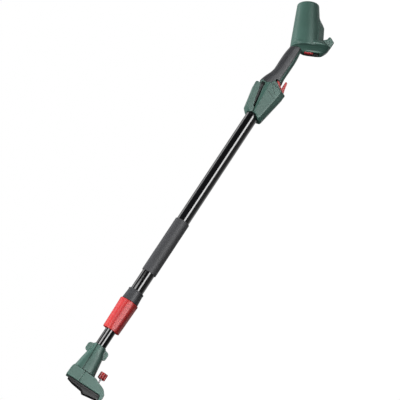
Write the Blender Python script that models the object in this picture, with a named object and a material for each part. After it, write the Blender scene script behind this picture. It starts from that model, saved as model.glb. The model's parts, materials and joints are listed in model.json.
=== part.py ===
"""Telescopic battery pole for hedge shears and pruning saws, modelled in metres with +Z up.

The pole lies along X with its battery head at +X and its tool adapter at -X. It rests on the floor on the
adapter's toe and on the head's bumper, so Z = 0 is the floor. Everything is modelled from the pole's own axis
(the frame called POLE) or from the battery head's axis (the frame called HEAD), and placed by two empties.
"""

import math

import bmesh
import bpy
from mathutils import Matrix, Vector

MM = 0.001

# ---- driving dimensions, in millimetres ----
FIT = 0.3                 # gap between two pieces that touch
SEAM = 0.15               # each shell half stops this far from the middle plane
WALL = 2.6                # wall of the plastic shells
ROUND = 24                # sides of a large round piece
SMALL = 12                # sides of a small round piece

AXIS_HEIGHT = 68.8        # pole axis above the floor
OUTER_TUBE_R = 16.0
OUTER_TUBE_WALL = 1.5
OUTER_TUBE_FRONT = -300.0
OUTER_TUBE_REAR = 296.0
TUBE_GAP = 1.5            # the guide bush runs in this gap between the two tubes
INNER_TUBE_R = OUTER_TUBE_R - OUTER_TUBE_WALL - TUBE_GAP
INNER_TUBE_WALL = 1.5
INNER_TUBE_FRONT = -446.0
INNER_TUBE_REAR = 190.0
TRAVEL = 400.0            # how far the pole extends
BUSH_LENGTH = 34.0
COIL_REAR = 290.0

FOAM_FRONT = -213.0
FOAM_REAR = -67.0
FOAM_R = OUTER_TUBE_R + 2.2

SLEEVE_FRONT = -371.0
SLEEVE_REAR = -293.6
COLLAR_REAR = -264.0
COLLAR_FRONT = -292.8
COLLAR_REAR_R = OUTER_TUBE_R + 2.8
COLLAR_FRONT_R = OUTER_TUBE_R + 4.6
SPIGOT_R = OUTER_TUBE_R + 3.0
SPIGOT_FRONT = -326.0
COLLET_FRONT = -358.0
COLLET_R = INNER_TUBE_R + 2.6
WEDGE_FRONT = -366.0
WEDGE_REAR = -346.0
WEDGE_R = COLLET_R + 2.4
SLEEVE_FRONT_R = WEDGE_R + 3.0
SLEEVE_REAR_R = SPIGOT_R + 4.2
WEDGE_TRAVEL = 3.0

HOUSING_HALF_WIDTH = 25.0
NECK_HALF_WIDTH = OUTER_TUBE_R + 2.6
GRIP_COVER_THICKNESS = 2.2

HEAD_TILT = 27.7          # head axis above the pole axis, degrees
HEAD_X = 484.6            # where the head's base centre is, in the pole frame
HEAD_Z = -9.6
HEAD_BASE_R = 38.5
HEAD_TOP_R = 27.6
HEAD_HEIGHT = 99.0
HEAD_EDGE = 6.0
BARREL_BOTTOM = -18.0     # where the barrel ends and the foot begins
FOOT_BOTTOM = -30.0
FOOT_BOTTOM_HALF_WIDTH = 15.0
BAY_DEPTH = 10.0
BAY_WALL = 2.6
BAY_BACK = -4.0
BAY_FRONT = 36.0
BLOCK_BOTTOM = -30.8
LATCH_BOTTOM = -32.0
BLADE_SPACING = 6.0

TRIGGER_HALF_WIDTH = NECK_HALF_WIDTH - 3.1
TRIGGER_PIVOT = (328.5, -29.5)
SIDE_PLAY = 0.8           # beside the trigger, on each side
CHEEK_INSIDE = TRIGGER_HALF_WIDTH + SIDE_PLAY
LEVER_PIVOT = (256.5, 10.2)
LEVER_HALF_WIDTH = NECK_HALF_WIDTH + 3.4
PIN_R = 1.5
PLUNGER_R = 2.5
SWITCH_REAR = 325.0
LATCH_TRAVEL = 4.0

BOSS_R = 4.0
SCREW_R = 1.6
SCREW_HEAD_R = 3.0
SCREW_SEAT = 6.0          # from the middle plane to the underside of a shell screw's head

ADAPTER_REAR = -413.0
ADAPTER_SEAM_X = -481.0   # where the cover ends and the foot begins
ADAPTER_FOOT_FRONT = -508.0
ADAPTER_HALF_WIDTH = 37.5
ADAPTER_TOP = 29.5
ADAPTER_GROOVE = 0.8      # half of the visible joint between the adapter's mouldings
PLUG_FRONT = -525.0
KNOB_Z = -42.0
KNOB_R = 10.0
KNOB_REAR = -459.0
KNOB_FRONT = -475.0
STEM_R = 1.9
STEM_FRONT = -518.0
WASHER_R = 4.6
WASHER_THICKNESS = 1.2
INSERT_R = 4.2

COIL_R = INNER_TUBE_R - 2.0
LEAD_R = 2.6

POLE_CENTRE_X = 29.0      # middle of the object's length, in the pole frame


MOULDED = ("housing_outside", "handle_shell", "adapter_body", "adapter_cover")   # chained with the MANIFOLD solver


# ---- materials ----
def material(name, colour, roughness, metallic=0.0):
    made = bpy.data.materials.new(name)
    made.use_nodes = True
    shader = made.node_tree.nodes["Principled BSDF"]
    shader.inputs["Base Color"].default_value = (*colour, 1.0)
    shader.inputs["Roughness"].default_value = roughness
    shader.inputs["Metallic"].default_value = metallic
    made.diffuse_color = (*colour, 1.0)
    return made


for leftover in list(bpy.data.objects):
    bpy.data.objects.remove(leftover)

GREEN = material("green_moulding", (0.10, 0.22, 0.18), 0.45)
RED = material("red_moulding", (0.62, 0.03, 0.03), 0.4)
RUBBER = material("soft_grip_rubber", (0.05, 0.05, 0.055), 0.75)
DARK = material("dark_grey_nylon", (0.06, 0.065, 0.07), 0.55)
BLACK = material("black_nylon", (0.015, 0.015, 0.017), 0.4)
FOAM = material("foam_rubber", (0.05, 0.05, 0.055), 0.9)
ANODISED = material("black_anodised_tube", (0.02, 0.02, 0.024), 0.25, 0.8)
STEEL = material("zinc_plated_steel", (0.6, 0.6, 0.62), 0.3, 1.0)
BRASS = material("contact_brass", (0.75, 0.55, 0.22), 0.3, 1.0)
BOARD = material("circuit_board", (0.02, 0.12, 0.05), 0.5)
CABLE = material("cable_sheath", (0.02, 0.02, 0.02), 0.55)


# ---- frames ----
def frame_empty(name, location, tilt, parent=None):
    empty = bpy.data.objects.new(name, None)
    bpy.context.scene.collection.objects.link(empty)
    empty.location = Vector(location) * MM
    empty.rotation_euler = (0.0, math.radians(tilt), 0.0)
    empty.parent = parent
    return empty


POLE = frame_empty("pole_axis", (-POLE_CENTRE_X, 0.0, AXIS_HEIGHT), 0.0)
HEAD = frame_empty("head_axis", (HEAD_X, 0.0, HEAD_Z), 90.0 - HEAD_TILT, POLE)


# ---- making meshes ----
def mesh_object(name, bm, frame, paint, helper=False):
    """Puts a bmesh, in millimetres, into an object that sits in a frame."""
    bmesh.ops.remove_doubles(bm, verts=bm.verts, dist=0.0005)
    bmesh.ops.recalc_face_normals(bm, faces=bm.faces)
    bmesh.ops.scale(bm, vec=(MM, MM, MM), verts=bm.verts)
    data = bpy.data.meshes.new(name)
    bm.to_mesh(data)
    bm.free()
    data.materials.append(paint)
    data.shade_smooth()
    data.set_sharp_from_angle(angle=math.radians(32))
    obj = bpy.data.objects.new(name, data)
    bpy.context.scene.collection.objects.link(obj)
    obj.parent = frame
    if helper:
        obj.hide_render = True
        obj.display_type = "WIRE"
    return obj


def loft(name, rings, frame=POLE, paint=GREEN, helper=False, closed=False):
    """A solid through rings of points. A closed loft joins its last ring to its first."""
    bm = bmesh.new()
    made = [[bm.verts.new(Vector(p)) for p in ring] for ring in rings]
    count = len(rings[0])
    pairs = list(zip(made, made[1:]))
    if closed:
        pairs.append((made[-1], made[0]))
    for first, second in pairs:
        for i in range(count):
            j = (i + 1) % count
            bm.faces.new((first[i], first[j], second[j], second[i]))
    if not closed:
        bm.faces.new(made[0])
        bm.faces.new(made[-1])
    return mesh_object(name, bm, frame, paint, helper)


def turned(name, profile, frame=POLE, paint=GREEN, sides=ROUND, along="X", centre=(0.0, 0.0), helper=False):
    """A closed outline of (distance along the axis, radius) points, turned round an axis."""
    bm = bmesh.new()
    outline = [bm.verts.new((x, 0.0, r)) for x, r in profile]
    edges = [bm.edges.new((a, b)) for a, b in zip(outline, outline[1:] + outline[:1])
             if a.co.z > 0.0 or b.co.z > 0.0]
    bmesh.ops.spin(bm, geom=outline + edges, cent=(0, 0, 0), axis=(1, 0, 0),
                   angle=math.tau, steps=sides, use_merge=True, use_duplicate=False)
    if along == "Z":
        bmesh.ops.rotate(bm, verts=bm.verts, cent=(0, 0, 0), matrix=Matrix.Rotation(-math.pi / 2, 3, "Y"))
        bmesh.ops.translate(bm, verts=bm.verts, vec=(centre[0], centre[1], 0.0))
    elif along == "Y":
        bmesh.ops.rotate(bm, verts=bm.verts, cent=(0, 0, 0), matrix=Matrix.Rotation(math.pi / 2, 3, "Z"))
        bmesh.ops.translate(bm, verts=bm.verts, vec=(centre[0], 0.0, centre[1]))
    else:
        bmesh.ops.translate(bm, verts=bm.verts, vec=(0.0, centre[0], centre[1]))
    return mesh_object(name, bm, frame, paint, helper)


def rod(name, start, end, radius, centre, along="Y", frame=POLE, paint=STEEL, sides=SMALL, helper=False):
    """A solid cylinder between two places along an axis."""
    profile = [(start, 0.0), (start, radius), (end, radius), (end, 0.0)]
    return turned(name, profile, frame, paint, sides, along, centre, helper)


def prism(name, outline, half_width, frame=POLE, paint=GREEN, middle=0.0, helper=False):
    """An outline of (x, z) points, extruded along Y to both sides."""
    rings = [[(x, middle + side * half_width, z) for x, z in outline] for side in (-1, 1)]
    return loft(name, rings, frame, paint, helper)


def box(name, low, high, frame=POLE, paint=GREEN, helper=False, bevel=0.0):
    outline = [(low[0], low[2]), (high[0], low[2]), (high[0], high[2]), (low[0], high[2])]
    middle = (low[1] + high[1]) / 2
    made = prism(name, outline, (high[1] - low[1]) / 2, frame, paint, middle, helper)
    if bevel:
        round_edges(made, bevel)
    return made


def round_edges(obj, width, segments=2, angle=40.0):
    modifier = obj.modifiers.new("round_edges", "BEVEL")
    modifier.width = width * MM
    modifier.segments = segments
    modifier.limit_method = "ANGLE"
    modifier.angle_limit = math.radians(angle)


def oval(half_width, low, high, power=2.6, count=24):
    """(y, z) points of a rounded section, flatter than an ellipse as power grows."""
    middle, half = (low + high) / 2, (high - low) / 2
    points = []
    for i in range(count):
        turn = math.tau * i / count
        c, s = math.cos(turn), math.sin(turn)
        points.append((half_width * math.copysign(abs(c) ** (2 / power), c),
                       middle + half * math.copysign(abs(s) ** (2 / power), s)))
    return points


def combine(obj, others, operation):
    """Adds one Boolean for each other object, which then only serves as a helper.

    The moulded shells chain dozens of Booleans, and there the EXACT solver leaves open edges.
    """
    for other in others:
        modifier = obj.modifiers.new(operation.lower() + "_" + other.name, "BOOLEAN")
        modifier.operation = operation
        modifier.solver = "MANIFOLD" if obj.name.startswith(MOULDED) else "EXACT"
        modifier.object = other
        other.hide_render = True
        other.display_type = "WIRE"
    return obj


def cut(obj, *others):
    return combine(obj, others, "DIFFERENCE")


def add(obj, *others):
    return combine(obj, others, "UNION")


def keep(obj, *others):
    return combine(obj, others, "INTERSECT")


def bar_between(name, points, radius, frame=POLE, paint=CABLE, sides=2):
    """A round lead along points, drawn through a smooth curve."""
    dense = smooth_points(points, 10.0)
    data = bpy.data.curves.new(name, "CURVE")
    data.dimensions = "3D"
    data.bevel_depth = radius * MM
    data.bevel_resolution = sides
    data.use_fill_caps = True
    spline = data.splines.new("POLY")
    spline.points.add(len(dense) - 1)
    for place, point in zip(spline.points, dense):
        place.co = (*(Vector(point) * MM), 1.0)
    data.materials.append(paint)
    obj = bpy.data.objects.new(name, data)
    bpy.context.scene.collection.objects.link(obj)
    obj.parent = frame
    return obj


def smooth_points(points, step):
    """Points about step apart on a Catmull-Rom curve through the route's own points."""
    route = [Vector(p) for p in points]
    ends = [2 * route[0] - route[1], *route, 2 * route[-1] - route[-2]]
    found = [route[0]]
    for a, b, c, d in zip(ends, ends[1:], ends[2:], ends[3:]):
        pieces = max(1, round((c - b).length / step))
        for i in range(1, pieces + 1):
            t = i / pieces
            found.append(0.5 * ((2 * b) + (c - a) * t + (2 * a - 5 * b + 4 * c - d) * t * t
                                + (3 * b - a - 3 * c + d) * t ** 3))
    return found


def coil_spring(name, start, end, radius, wire, turns, frame, centre=(0.0, 0.0), along="X"):
    """A helical spring as one swept wire."""
    steps = 8 * turns
    sides = 4
    rings = []
    for i in range(steps + 1):
        turn = math.tau * turns * i / steps
        place = start + (end - start) * i / steps
        rings.append([])
        for k in range(sides):
            lean = math.tau * k / sides
            r = radius + wire * math.cos(lean)
            rings[-1].append((place + wire * math.sin(lean), r * math.cos(turn), r * math.sin(turn)))
    if along == "X":
        placed = [[(x, y + centre[0], z + centre[1]) for x, y, z in ring] for ring in rings]
    else:
        placed = [[(y + centre[0], z + centre[1], x) for x, y, z in ring] for ring in rings]
    return loft(name, placed, frame, STEEL)


# ---- outlines, as (x, z) points; the head's are (across, along its axis) ----
PANEL = [(256, 6.5), (243, -15), (244.5, -24.6), (249, -26.8), (327, -39.4), (330, -37.5), (333.5, -25),
         (337, 11.5), (333, 16.5), (318, 15.5)]
PANEL_FACE = [(254.5, 4.2), (246, -10), (247, -14.5), (251.5, -16.2), (322, -27), (329.5, -26), (332, -22),
              (335, 6), (332, 9.5), (318, 9)]
NECK = [(250.5, -20), (332, -31), (334, 30), (262, 20.5), (250.5, 14.5)]
NECK_HOLLOW = [(253.1, -17), (329.5, -27), (331, 26.5), (264, 17.6), (253.1, 12)]
CHEEK = [(326, -27), (332.5, -26), (336.8, -21.2), (347.8, -4.4), (349, 1), (342, 6), (326, 6)]
LEVER = [(246.7, 15.4), (249, 18.8), (259, 28.3), (317, 39.4), (320.5, 38.2), (322, 35), (321.5, 27.6), (312, 24.6),
         (279, 17), (264, 12.0), (256, 7.2), (251, 6.4), (247.2, 10)]
LEVER_HOLLOW = [(249, -5), (249, 15), (262, 24.9), (345, 40.2), (345, -5)]
TRIGGER = [(324.8, -29), (325.6, -32.2), (328.5, -33.6), (334, -33), (343, -30.6), (360, -27.4), (362.2, -24.8),
           (360.4, -21.4), (343.5, -23.6), (341.6, -21.4), (353.4, -8), (352.6, -4.6), (348.6, -4.2), (337, -21),
           (327, -25.4)]
TRIGGER_POCKET = [(323.5, -60), (323.5, -22), (326, -20), (340, 0), (356, 0), (354.8, -8.4), (344.8, -20),
                  (344.8, -60)]
GRIP_STATIONS = [(329, 15.0, -19, 33.5), (342, 15.2, -19, 31), (354, 15.6, -18.0, 27), (367, 16.0, -16.4, 22),
                 (381, 16.6, -16.2, 19.2), (404, 17.0, -16.6, 19.4), (424, 17.0, -16.4, 19.2),
                 (441, 16.4, -14.8, 17.8), (456, 16.0, -13, 16), (474, 16.0, -13, 16)]
GRIP_SPLIT = -8.5         # the soft cover ends above this height, the hard finger side is below
TOE = [(38, -12), (38, 3), (50, 7.5), (53, 13.5), (57.5, 13.5), (67.0, 0.5), (58.5, -16), (52, -16.5)]
WING = [(15, -13), (43, -13), (43, 39), (31, 62), (15, 62)]
SHELL_SCREWS = [("pole", 262.0, -22.5, 20.0), ("pole", 312.0, -29.5, 20.0), ("pole", 318.0, 17.5, 17.0),
                ("pole", 402.0, -6.0, 11.5), ("head", -12.0, 80.0, 25.0), ("head", -24.0, 8.0, 27.0),
                ("head", 34.0, 8.0, 13.0)]
FUNNEL_STATIONS = [(ADAPTER_REAR, 15.2, -15.2, 15.2), (-428, 15.8, -17, 16), (-437, 18, -21, 18.7),
                   (-455, 25, -24, 22), (-470, 31, -26, 24.2), (ADAPTER_SEAM_X, 35, -27.8, 26.2)]
FOOT_UPPER = [(-481.0, 5.3), (-481.0, 26.0), (-484, 27.6), (-489, 28.8), (ADAPTER_FOOT_FRONT, ADAPTER_TOP),
              (ADAPTER_FOOT_FRONT, -3.2), (-481.0, -3.2)]
ADAPTER_TOE = [(-481.4, -3.9), (-481.4, -28.5), (-483, -35), (-486.6, -41), (-489, -50), (-492.5, -58), (-497, -63),
               (-504, -67.8), (-513, -68.4), (-518.3, -64), (-518, -61), (ADAPTER_FOOT_FRONT, -60),
               (ADAPTER_FOOT_FRONT, -3.9)]
PLUG = [(ADAPTER_FOOT_FRONT - FIT - 0.1, 22.5), (-513, 21.5), (-516.7, 8), (-520, -19), (PLUG_FRONT, -24),
        (-519.6, -59.4), (ADAPTER_FOOT_FRONT - FIT - 0.1, -59.4)]
EAR = [(-415.5, 13), (-418, 23.5), (-422, 27), (-434, 27), (-437, 24), (-440, 14)]
SPLIT_REAR = 8.0          # height of the joint between the adapter's two mouldings at its rear
SPLIT_FRONT = 4.5


def frame_of(which):
    return HEAD if which == "head" else POLE


# ---- the two halves of the handle ----
def grip_solid(name, inset):
    rings = [[(x, y, z) for y, z in oval(w - inset, low + inset, high - inset, 2.7)]
             for x, w, low, high in GRIP_STATIONS]
    return loft(name, rings, helper=True)


def panel_solid(name, inset):
    """The flat-sided trigger housing: a full outline in the middle and a smaller face on each side."""
    half = HOUSING_HALF_WIDTH - inset
    shoulder = half - 7.0
    centre = (292.0, -11.0)

    def shrunk(outline):
        share_x, share_z = 1 - inset / 43.0, 1 - inset / 17.0
        return [(centre[0] + (x - centre[0]) * share_x, centre[1] + (z - centre[1]) * share_z)
                for x, z in outline]

    sections = [(-half, PANEL_FACE), (-shoulder, PANEL), (shoulder, PANEL), (half, PANEL_FACE)]
    return loft(name, [[(x, y, z) for x, z in shrunk(outline)] for y, outline in sections], helper=True)


FOOT_LEVELS = [(FOOT_BOTTOM, -8, 44, 0.0), (FOOT_BOTTOM + 1.2, -10.5, 46, 1.0), (FOOT_BOTTOM + 4, -14, 49.5, 2.2),
               (-22.5, -19, 53.4, 6.4), (-19.5, -25, 55.8, 11.5), (-16.5, -33, 57.5, 18.0), (-13.5, -36, 57.5, 22.0)]


def head_profile(inset):
    """Half outline of the tapered battery head, from its rounded lower edge to its rounded top."""
    base, top, high = HEAD_BASE_R - inset, HEAD_TOP_R - inset, HEAD_HEIGHT - inset
    floor = BARREL_BOTTOM + inset
    arc = [(high - HEAD_EDGE + HEAD_EDGE * math.sin(math.radians(a)),
            top - HEAD_EDGE + HEAD_EDGE * math.cos(math.radians(a))) for a in (0, 22, 45, 68, 90)]
    return [(floor, 0.0), (floor, base - 4.5), (floor + 1.4, base - 1.4), (floor + 4.6, base), *arc, (high, 0.0)]


def foot_solid(name, inset):
    """The keel-like foot under the barrel: (height, rear end, front end, extra half width) at each level."""
    rings = []
    for height, rear, front, wider in FOOT_LEVELS:
        level = height + inset if height == FOOT_BOTTOM else height
        half = FOOT_BOTTOM_HALF_WIDTH + wider - inset
        middle, reach = (rear + front) / 2, (front - rear) / 2 - inset
        rings.append([(middle + x, y, level) for x, y in oval(reach, -half, half, 3.4, 28)])
    return loft(name, rings, HEAD, helper=True)


def shell_solid():
    """Both handle halves as one hollow solid, before it is split along the middle plane."""
    whole = panel_solid("housing_outside", 0.0)
    finger_side = keep(grip_solid("finger_side", 0.0),
                       box("finger_side_space", (326, -20, -40), (480, 20, GRIP_SPLIT), helper=True))
    toe = prism("head_toe", TOE, 21.0, HEAD, helper=True)
    round_edges(toe, 2.0)
    wing = loft("head_wing", [[(x, side * (19.0 - max(0.0, z) * 0.06), z) for x, z in WING]
                              for side in (-1, 1)], HEAD, helper=True)
    round_edges(wing, 2.0)
    add(whole, prism("neck", NECK, NECK_HALF_WIDTH, helper=True), grip_solid("grip_core", GRIP_COVER_THICKNESS),
        finger_side, turned("head_outside", head_profile(0.0), HEAD, along="Z", helper=True),
        foot_solid("foot_outside", 0.0), toe, wing)
    cut(whole, panel_solid("housing_hollow", WALL),
        prism("neck_hollow", NECK_HOLLOW, NECK_HALF_WIDTH - WALL, helper=True),
        grip_solid("grip_hollow", GRIP_COVER_THICKNESS + WALL),
        turned("head_hollow", head_profile(WALL), HEAD, along="Z", helper=True))

    socket = rod("tube_socket", 262, OUTER_TUBE_REAR + 3.0, OUTER_TUBE_R + 2.4, (0, 0), "X", sides=ROUND,
                 helper=True)
    cheeks = [prism(f"cheek_{side}", CHEEK, (NECK_HALF_WIDTH - CHEEK_INSIDE) / 2,
                    middle=side * (NECK_HALF_WIDTH + CHEEK_INSIDE) / 2, helper=True) for side in (-1, 1)]
    add(whole, socket, *cheeks)
    for i, (which, x, z, reach) in enumerate(SHELL_SCREWS, 1):
        add(whole, rod(f"boss_{i}", -reach, reach, BOSS_R, (x, z), frame=frame_of(which), helper=True))

    bay_half_width = FOOT_BOTTOM_HALF_WIDTH - BAY_WALL
    bay_low = (BAY_BACK, -bay_half_width, FOOT_BOTTOM - 1.0)
    cut(whole, rod("tube_seat", 200, OUTER_TUBE_REAR + FIT, OUTER_TUBE_R + FIT, (0, 0), "X", sides=ROUND,
                   helper=True),
        rod("tube_cable_hole", 280, OUTER_TUBE_REAR + 9.0, 12.0, (0, 0), "X", helper=True),
        box("battery_bay", bay_low, (BAY_FRONT, bay_half_width, FOOT_BOTTOM + BAY_DEPTH), HEAD, helper=True),
        prism("trigger_pocket", TRIGGER_POCKET, TRIGGER_HALF_WIDTH + SIDE_PLAY, helper=True),
        rod("cable_way", 440, 482, LEAD_R + 2.0, (0, 5), "X", helper=True),
        rod("trigger_pin_bore", -TRIGGER_HALF_WIDTH - 4.9, TRIGGER_HALF_WIDTH + 4.9, PIN_R + FIT, TRIGGER_PIVOT, helper=True))
    for side in (-1, 1):
        ends = sorted((side * (NECK_HALF_WIDTH - 3.8), side * 30.0))
        cut(whole, rod(f"lever_pin_bore_{side}", *ends, PIN_R + FIT, LEVER_PIVOT, helper=True))
    for i, (which, x, z, reach) in enumerate(SHELL_SCREWS, 1):
        frame = frame_of(which)
        cut(whole, rod(f"screw_bore_{i}", -9.0, 40.0, SCREW_R + FIT, (x, z), frame=frame, helper=True),
            rod(f"screw_sink_{i}", SCREW_SEAT, 60.0, SCREW_HEAD_R + FIT, (x, z), frame=frame, helper=True))
    return whole


SHELL = shell_solid()
for half_name, low_y, high_y in (("handle_shell_left", -60.0, -SEAM), ("handle_shell_right", SEAM, 60.0)):
    keep(box(half_name, (200, low_y, -120), (660, high_y, 120)), SHELL)

for i, (which, x, z, reach) in enumerate(SHELL_SCREWS, 1):
    top = SCREW_SEAT + FIT
    turned(f"shell_screw_{i}", [(-8.0, 0.0), (-8.0, SCREW_R), (top, SCREW_R), (top, SCREW_HEAD_R),
                                (top + 2.0, SCREW_HEAD_R), (top + 2.0, 0.0)],
           frame_of(which), STEEL, 10, "Y", (x, z))

# ---- the soft grip cover ----
cover = grip_solid("grip_cover", 0.0)
cover.hide_render = False
cover.display_type = "TEXTURED"
cover.data.materials[0] = RUBBER
cut(cover, grip_solid("grip_cover_inside", GRIP_COVER_THICKNESS - FIT),
    box("grip_cover_below", (300, -40, -60), (500, 40, GRIP_SPLIT + FIT), helper=True),
    box("grip_cover_front", (300, -40, -60), (334.0 + FIT, 40, 60), helper=True),
    turned("grip_cover_head_gap", head_profile(-FIT), HEAD, along="Z", helper=True),
    foot_solid("grip_cover_foot_gap", -FIT),
    panel_solid("grip_cover_housing_gap", -FIT),
    *[prism(f"grip_cover_cheek_gap_{side}", CHEEK, 10.0, middle=side * (CHEEK_INSIDE - FIT + 10.0), helper=True)
      for side in (-1, 1)],
    prism("grip_cover_trigger_gap", TRIGGER_POCKET, TRIGGER_HALF_WIDTH + SIDE_PLAY, helper=True))

# ---- the trigger, its pin and the switch behind it ----
trigger = prism("trigger", TRIGGER, TRIGGER_HALF_WIDTH, paint=RED)
round_edges(trigger, 1.0)
cut(trigger, rod("trigger_bore", -30, 30, PIN_R + FIT, TRIGGER_PIVOT, helper=True))
rod("trigger_pin", -TRIGGER_HALF_WIDTH - 4.6, TRIGGER_HALF_WIDTH + 4.6, PIN_R, TRIGGER_PIVOT)

switch = box("switch_module", (300, -9, -20), (SWITCH_REAR, 9, -3), paint=BLACK)
cut(switch, rod("switch_bore", 310, 400, PLUNGER_R + FIT, (0, -11), "X", helper=True))
rod("switch_plunger", 315, 341.7, PLUNGER_R, (0, -11), "X", paint=DARK)
coil_spring("trigger_spring", SWITCH_REAR + 0.4, 337.0, 2.4, 0.4, 5, POLE, (4.0 - TRIGGER_HALF_WIDTH, -17.0))

# ---- the lock-off lever over the housing ----
lever = prism("lock_off_lever", LEVER, LEVER_HALF_WIDTH, paint=GREEN)
round_edges(lever, 1.2)
cut(lever, prism("lever_hollow", LEVER_HOLLOW, NECK_HALF_WIDTH + 0.5, helper=True),
    rod("lever_tube_gap", 200, 300, OUTER_TUBE_R + 1.4, (0, 0), "X", sides=ROUND, helper=True),
    rod("lever_bore", -40, 40, PIN_R + FIT, LEVER_PIVOT, helper=True))
for side, name in ((-1, "lever_pin_left"), (1, "lever_pin_right")):
    rod(name, *sorted((side * (NECK_HALF_WIDTH - 3.5), side * (LEVER_HALF_WIDTH - 0.4))), PIN_R, LEVER_PIVOT)
coil_spring("lever_spring", 27.6, 31.8, 3.6, 0.5, 3, POLE, (306.0, 0.0), "Z")

# ---- the battery head's inside and its foot ----
roof = FOOT_BOTTOM + BAY_DEPTH
bay_side = FOOT_BOTTOM_HALF_WIDTH - BAY_WALL - 0.6
box("control_board", (-6, -18, BARREL_BOTTOM + WALL + FIT), (26, 18, BARREL_BOTTOM + WALL + 1.9), HEAD, BOARD)
block = box("terminal_block", (8, 0.2, BLOCK_BOTTOM), (33, bay_side, roof - FIT), HEAD, BLACK, bevel=1.0)
for side, name in ((-1, "contact_blade_left"), (1, "contact_blade_right")):
    y = 0.1 + bay_side / 2 + side * BLADE_SPACING / 2
    cut(block, box(f"{name}_slot", (20, y - 0.9, -27.4), (60, y + 0.9, -21.4), HEAD, helper=True))
    box(name, (20.4, y - 0.5, -27.0), (34.6, y + 0.5, -21.8), HEAD, BRASS)
latch = box("battery_latch", (BAY_BACK + 0.6, -bay_side, LATCH_BOTTOM), (18.0, -1.0, roof - LATCH_TRAVEL - 0.5), HEAD,
            RED, bevel=1.5)
spring_place = (8.0, -0.5 - bay_side / 2)
cut(latch, rod("latch_spring_seat", roof - 8.0, roof, 3.6, spring_place, "Z", HEAD, helper=True))
coil_spring("latch_spring", roof - 7.4, roof - FIT - 0.5, 2.3, 0.5, 4, HEAD, spring_place, "Z")

# ---- the tubes and the foam sleeve ----
tube_wall = OUTER_TUBE_R - OUTER_TUBE_WALL
turned("outer_tube", [(OUTER_TUBE_FRONT, tube_wall), (OUTER_TUBE_FRONT, OUTER_TUBE_R), (OUTER_TUBE_REAR, OUTER_TUBE_R),
                      (OUTER_TUBE_REAR, tube_wall)], paint=ANODISED)
tube_wall = INNER_TUBE_R - INNER_TUBE_WALL
turned("inner_tube", [(INNER_TUBE_FRONT, tube_wall), (INNER_TUBE_FRONT, INNER_TUBE_R), (INNER_TUBE_REAR, INNER_TUBE_R),
                      (INNER_TUBE_REAR, tube_wall)], paint=ANODISED)
bush_front = INNER_TUBE_REAR - BUSH_LENGTH
turned("guide_bush", [(bush_front, INNER_TUBE_R + FIT), (bush_front, OUTER_TUBE_R - OUTER_TUBE_WALL - FIT),
                      (INNER_TUBE_REAR, OUTER_TUBE_R - OUTER_TUBE_WALL - FIT), (INNER_TUBE_REAR, INNER_TUBE_R + FIT)],
       paint=BLACK)
turned("foam_grip", [(FOAM_FRONT, OUTER_TUBE_R + FIT), (FOAM_FRONT, FOAM_R - 1.0), (FOAM_FRONT + 1.0, FOAM_R),
                     (FOAM_REAR - 1.0, FOAM_R), (FOAM_REAR, FOAM_R - 1.0), (FOAM_REAR, OUTER_TUBE_R + FIT)], paint=FOAM)
turned("coiled_cable", [(INNER_TUBE_REAR + 2.0, 6.0), (INNER_TUBE_REAR + 2.0, COIL_R), (COIL_REAR, COIL_R),
                        (COIL_REAR, 6.0)], paint=CABLE, sides=24)
rod("inner_lead", -468.0, INNER_TUBE_REAR, LEAD_R, (0, 0), "X", paint=CABLE, sides=10)
bar_between("supply_cable", [(474, 0, 5), (450, 0, 5), (420, 0, 7), (390, 0, 8), (360, 0, 8.5), (335, 0, 8),
                             (315, 0, 5), (303, 0, 1), (294, 0, 0)], LEAD_R)

# ---- the twist lock ----
bore = OUTER_TUBE_R + FIT
turned("lock_collar", [(COLLAR_REAR, bore), (COLLAR_REAR, COLLAR_REAR_R - 0.8), (COLLAR_REAR - 1.2, COLLAR_REAR_R),
                       (COLLAR_FRONT + 1.0, COLLAR_FRONT_R), (COLLAR_FRONT, COLLAR_FRONT_R - 0.6),
                       (COLLAR_FRONT, SPIGOT_R), (SPIGOT_FRONT, SPIGOT_R), (SPIGOT_FRONT, SPIGOT_R - 2.0),
                       (OUTER_TUBE_FRONT - 3.0, SPIGOT_R - 2.0), (OUTER_TUBE_FRONT - 3.0, INNER_TUBE_R + 1.9),
                       (OUTER_TUBE_FRONT - FIT, INNER_TUBE_R + 1.9), (OUTER_TUBE_FRONT - FIT, bore)], paint=DARK)
turned("lock_sleeve", [(SLEEVE_REAR, SPIGOT_R + FIT), (SLEEVE_REAR, SLEEVE_REAR_R - 1.2),
                       (SLEEVE_REAR - 1.2, SLEEVE_REAR_R), (SLEEVE_FRONT + 1.4, SLEEVE_FRONT_R),
                       (SLEEVE_FRONT, SLEEVE_FRONT_R - 1.4), (SLEEVE_FRONT, INNER_TUBE_R + 0.5),
                       (SLEEVE_FRONT + 3.0, INNER_TUBE_R + 0.5), (SLEEVE_FRONT + 3.0, WEDGE_R + FIT),
                       (SPIGOT_FRONT - 1.0, WEDGE_R + FIT), (SPIGOT_FRONT - 1.0, SPIGOT_R + FIT)], paint=RED)
collet_bore = INNER_TUBE_R + FIT
collet_rear = OUTER_TUBE_FRONT - 3.0 - FIT
collet = turned("collet", [(collet_rear, collet_bore), (collet_rear, SPIGOT_R - 2.0 - FIT),
                           (collet_rear - 4.0, SPIGOT_R - 2.0 - FIT), (collet_rear - 4.0, COLLET_R),
                           (COLLET_FRONT + 14.0, COLLET_R), (COLLET_FRONT, COLLET_R - 1.4),
                           (COLLET_FRONT, collet_bore)], paint=BLACK)
for i in range(2):
    lean = math.radians(45 + 90 * i)
    slot = box(f"collet_slot_{i}", (COLLET_FRONT - 5, -30, -0.8), (-318, 30, 0.8), helper=True)
    slot.rotation_euler = (lean, 0.0, 0.0)
    cut(collet, slot)
turned("wedge_ring", [(WEDGE_REAR, COLLET_R + 0.1), (WEDGE_REAR, WEDGE_R), (WEDGE_FRONT, WEDGE_R),
                      (WEDGE_FRONT, COLLET_R - 1.9)], paint=BLACK)


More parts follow.
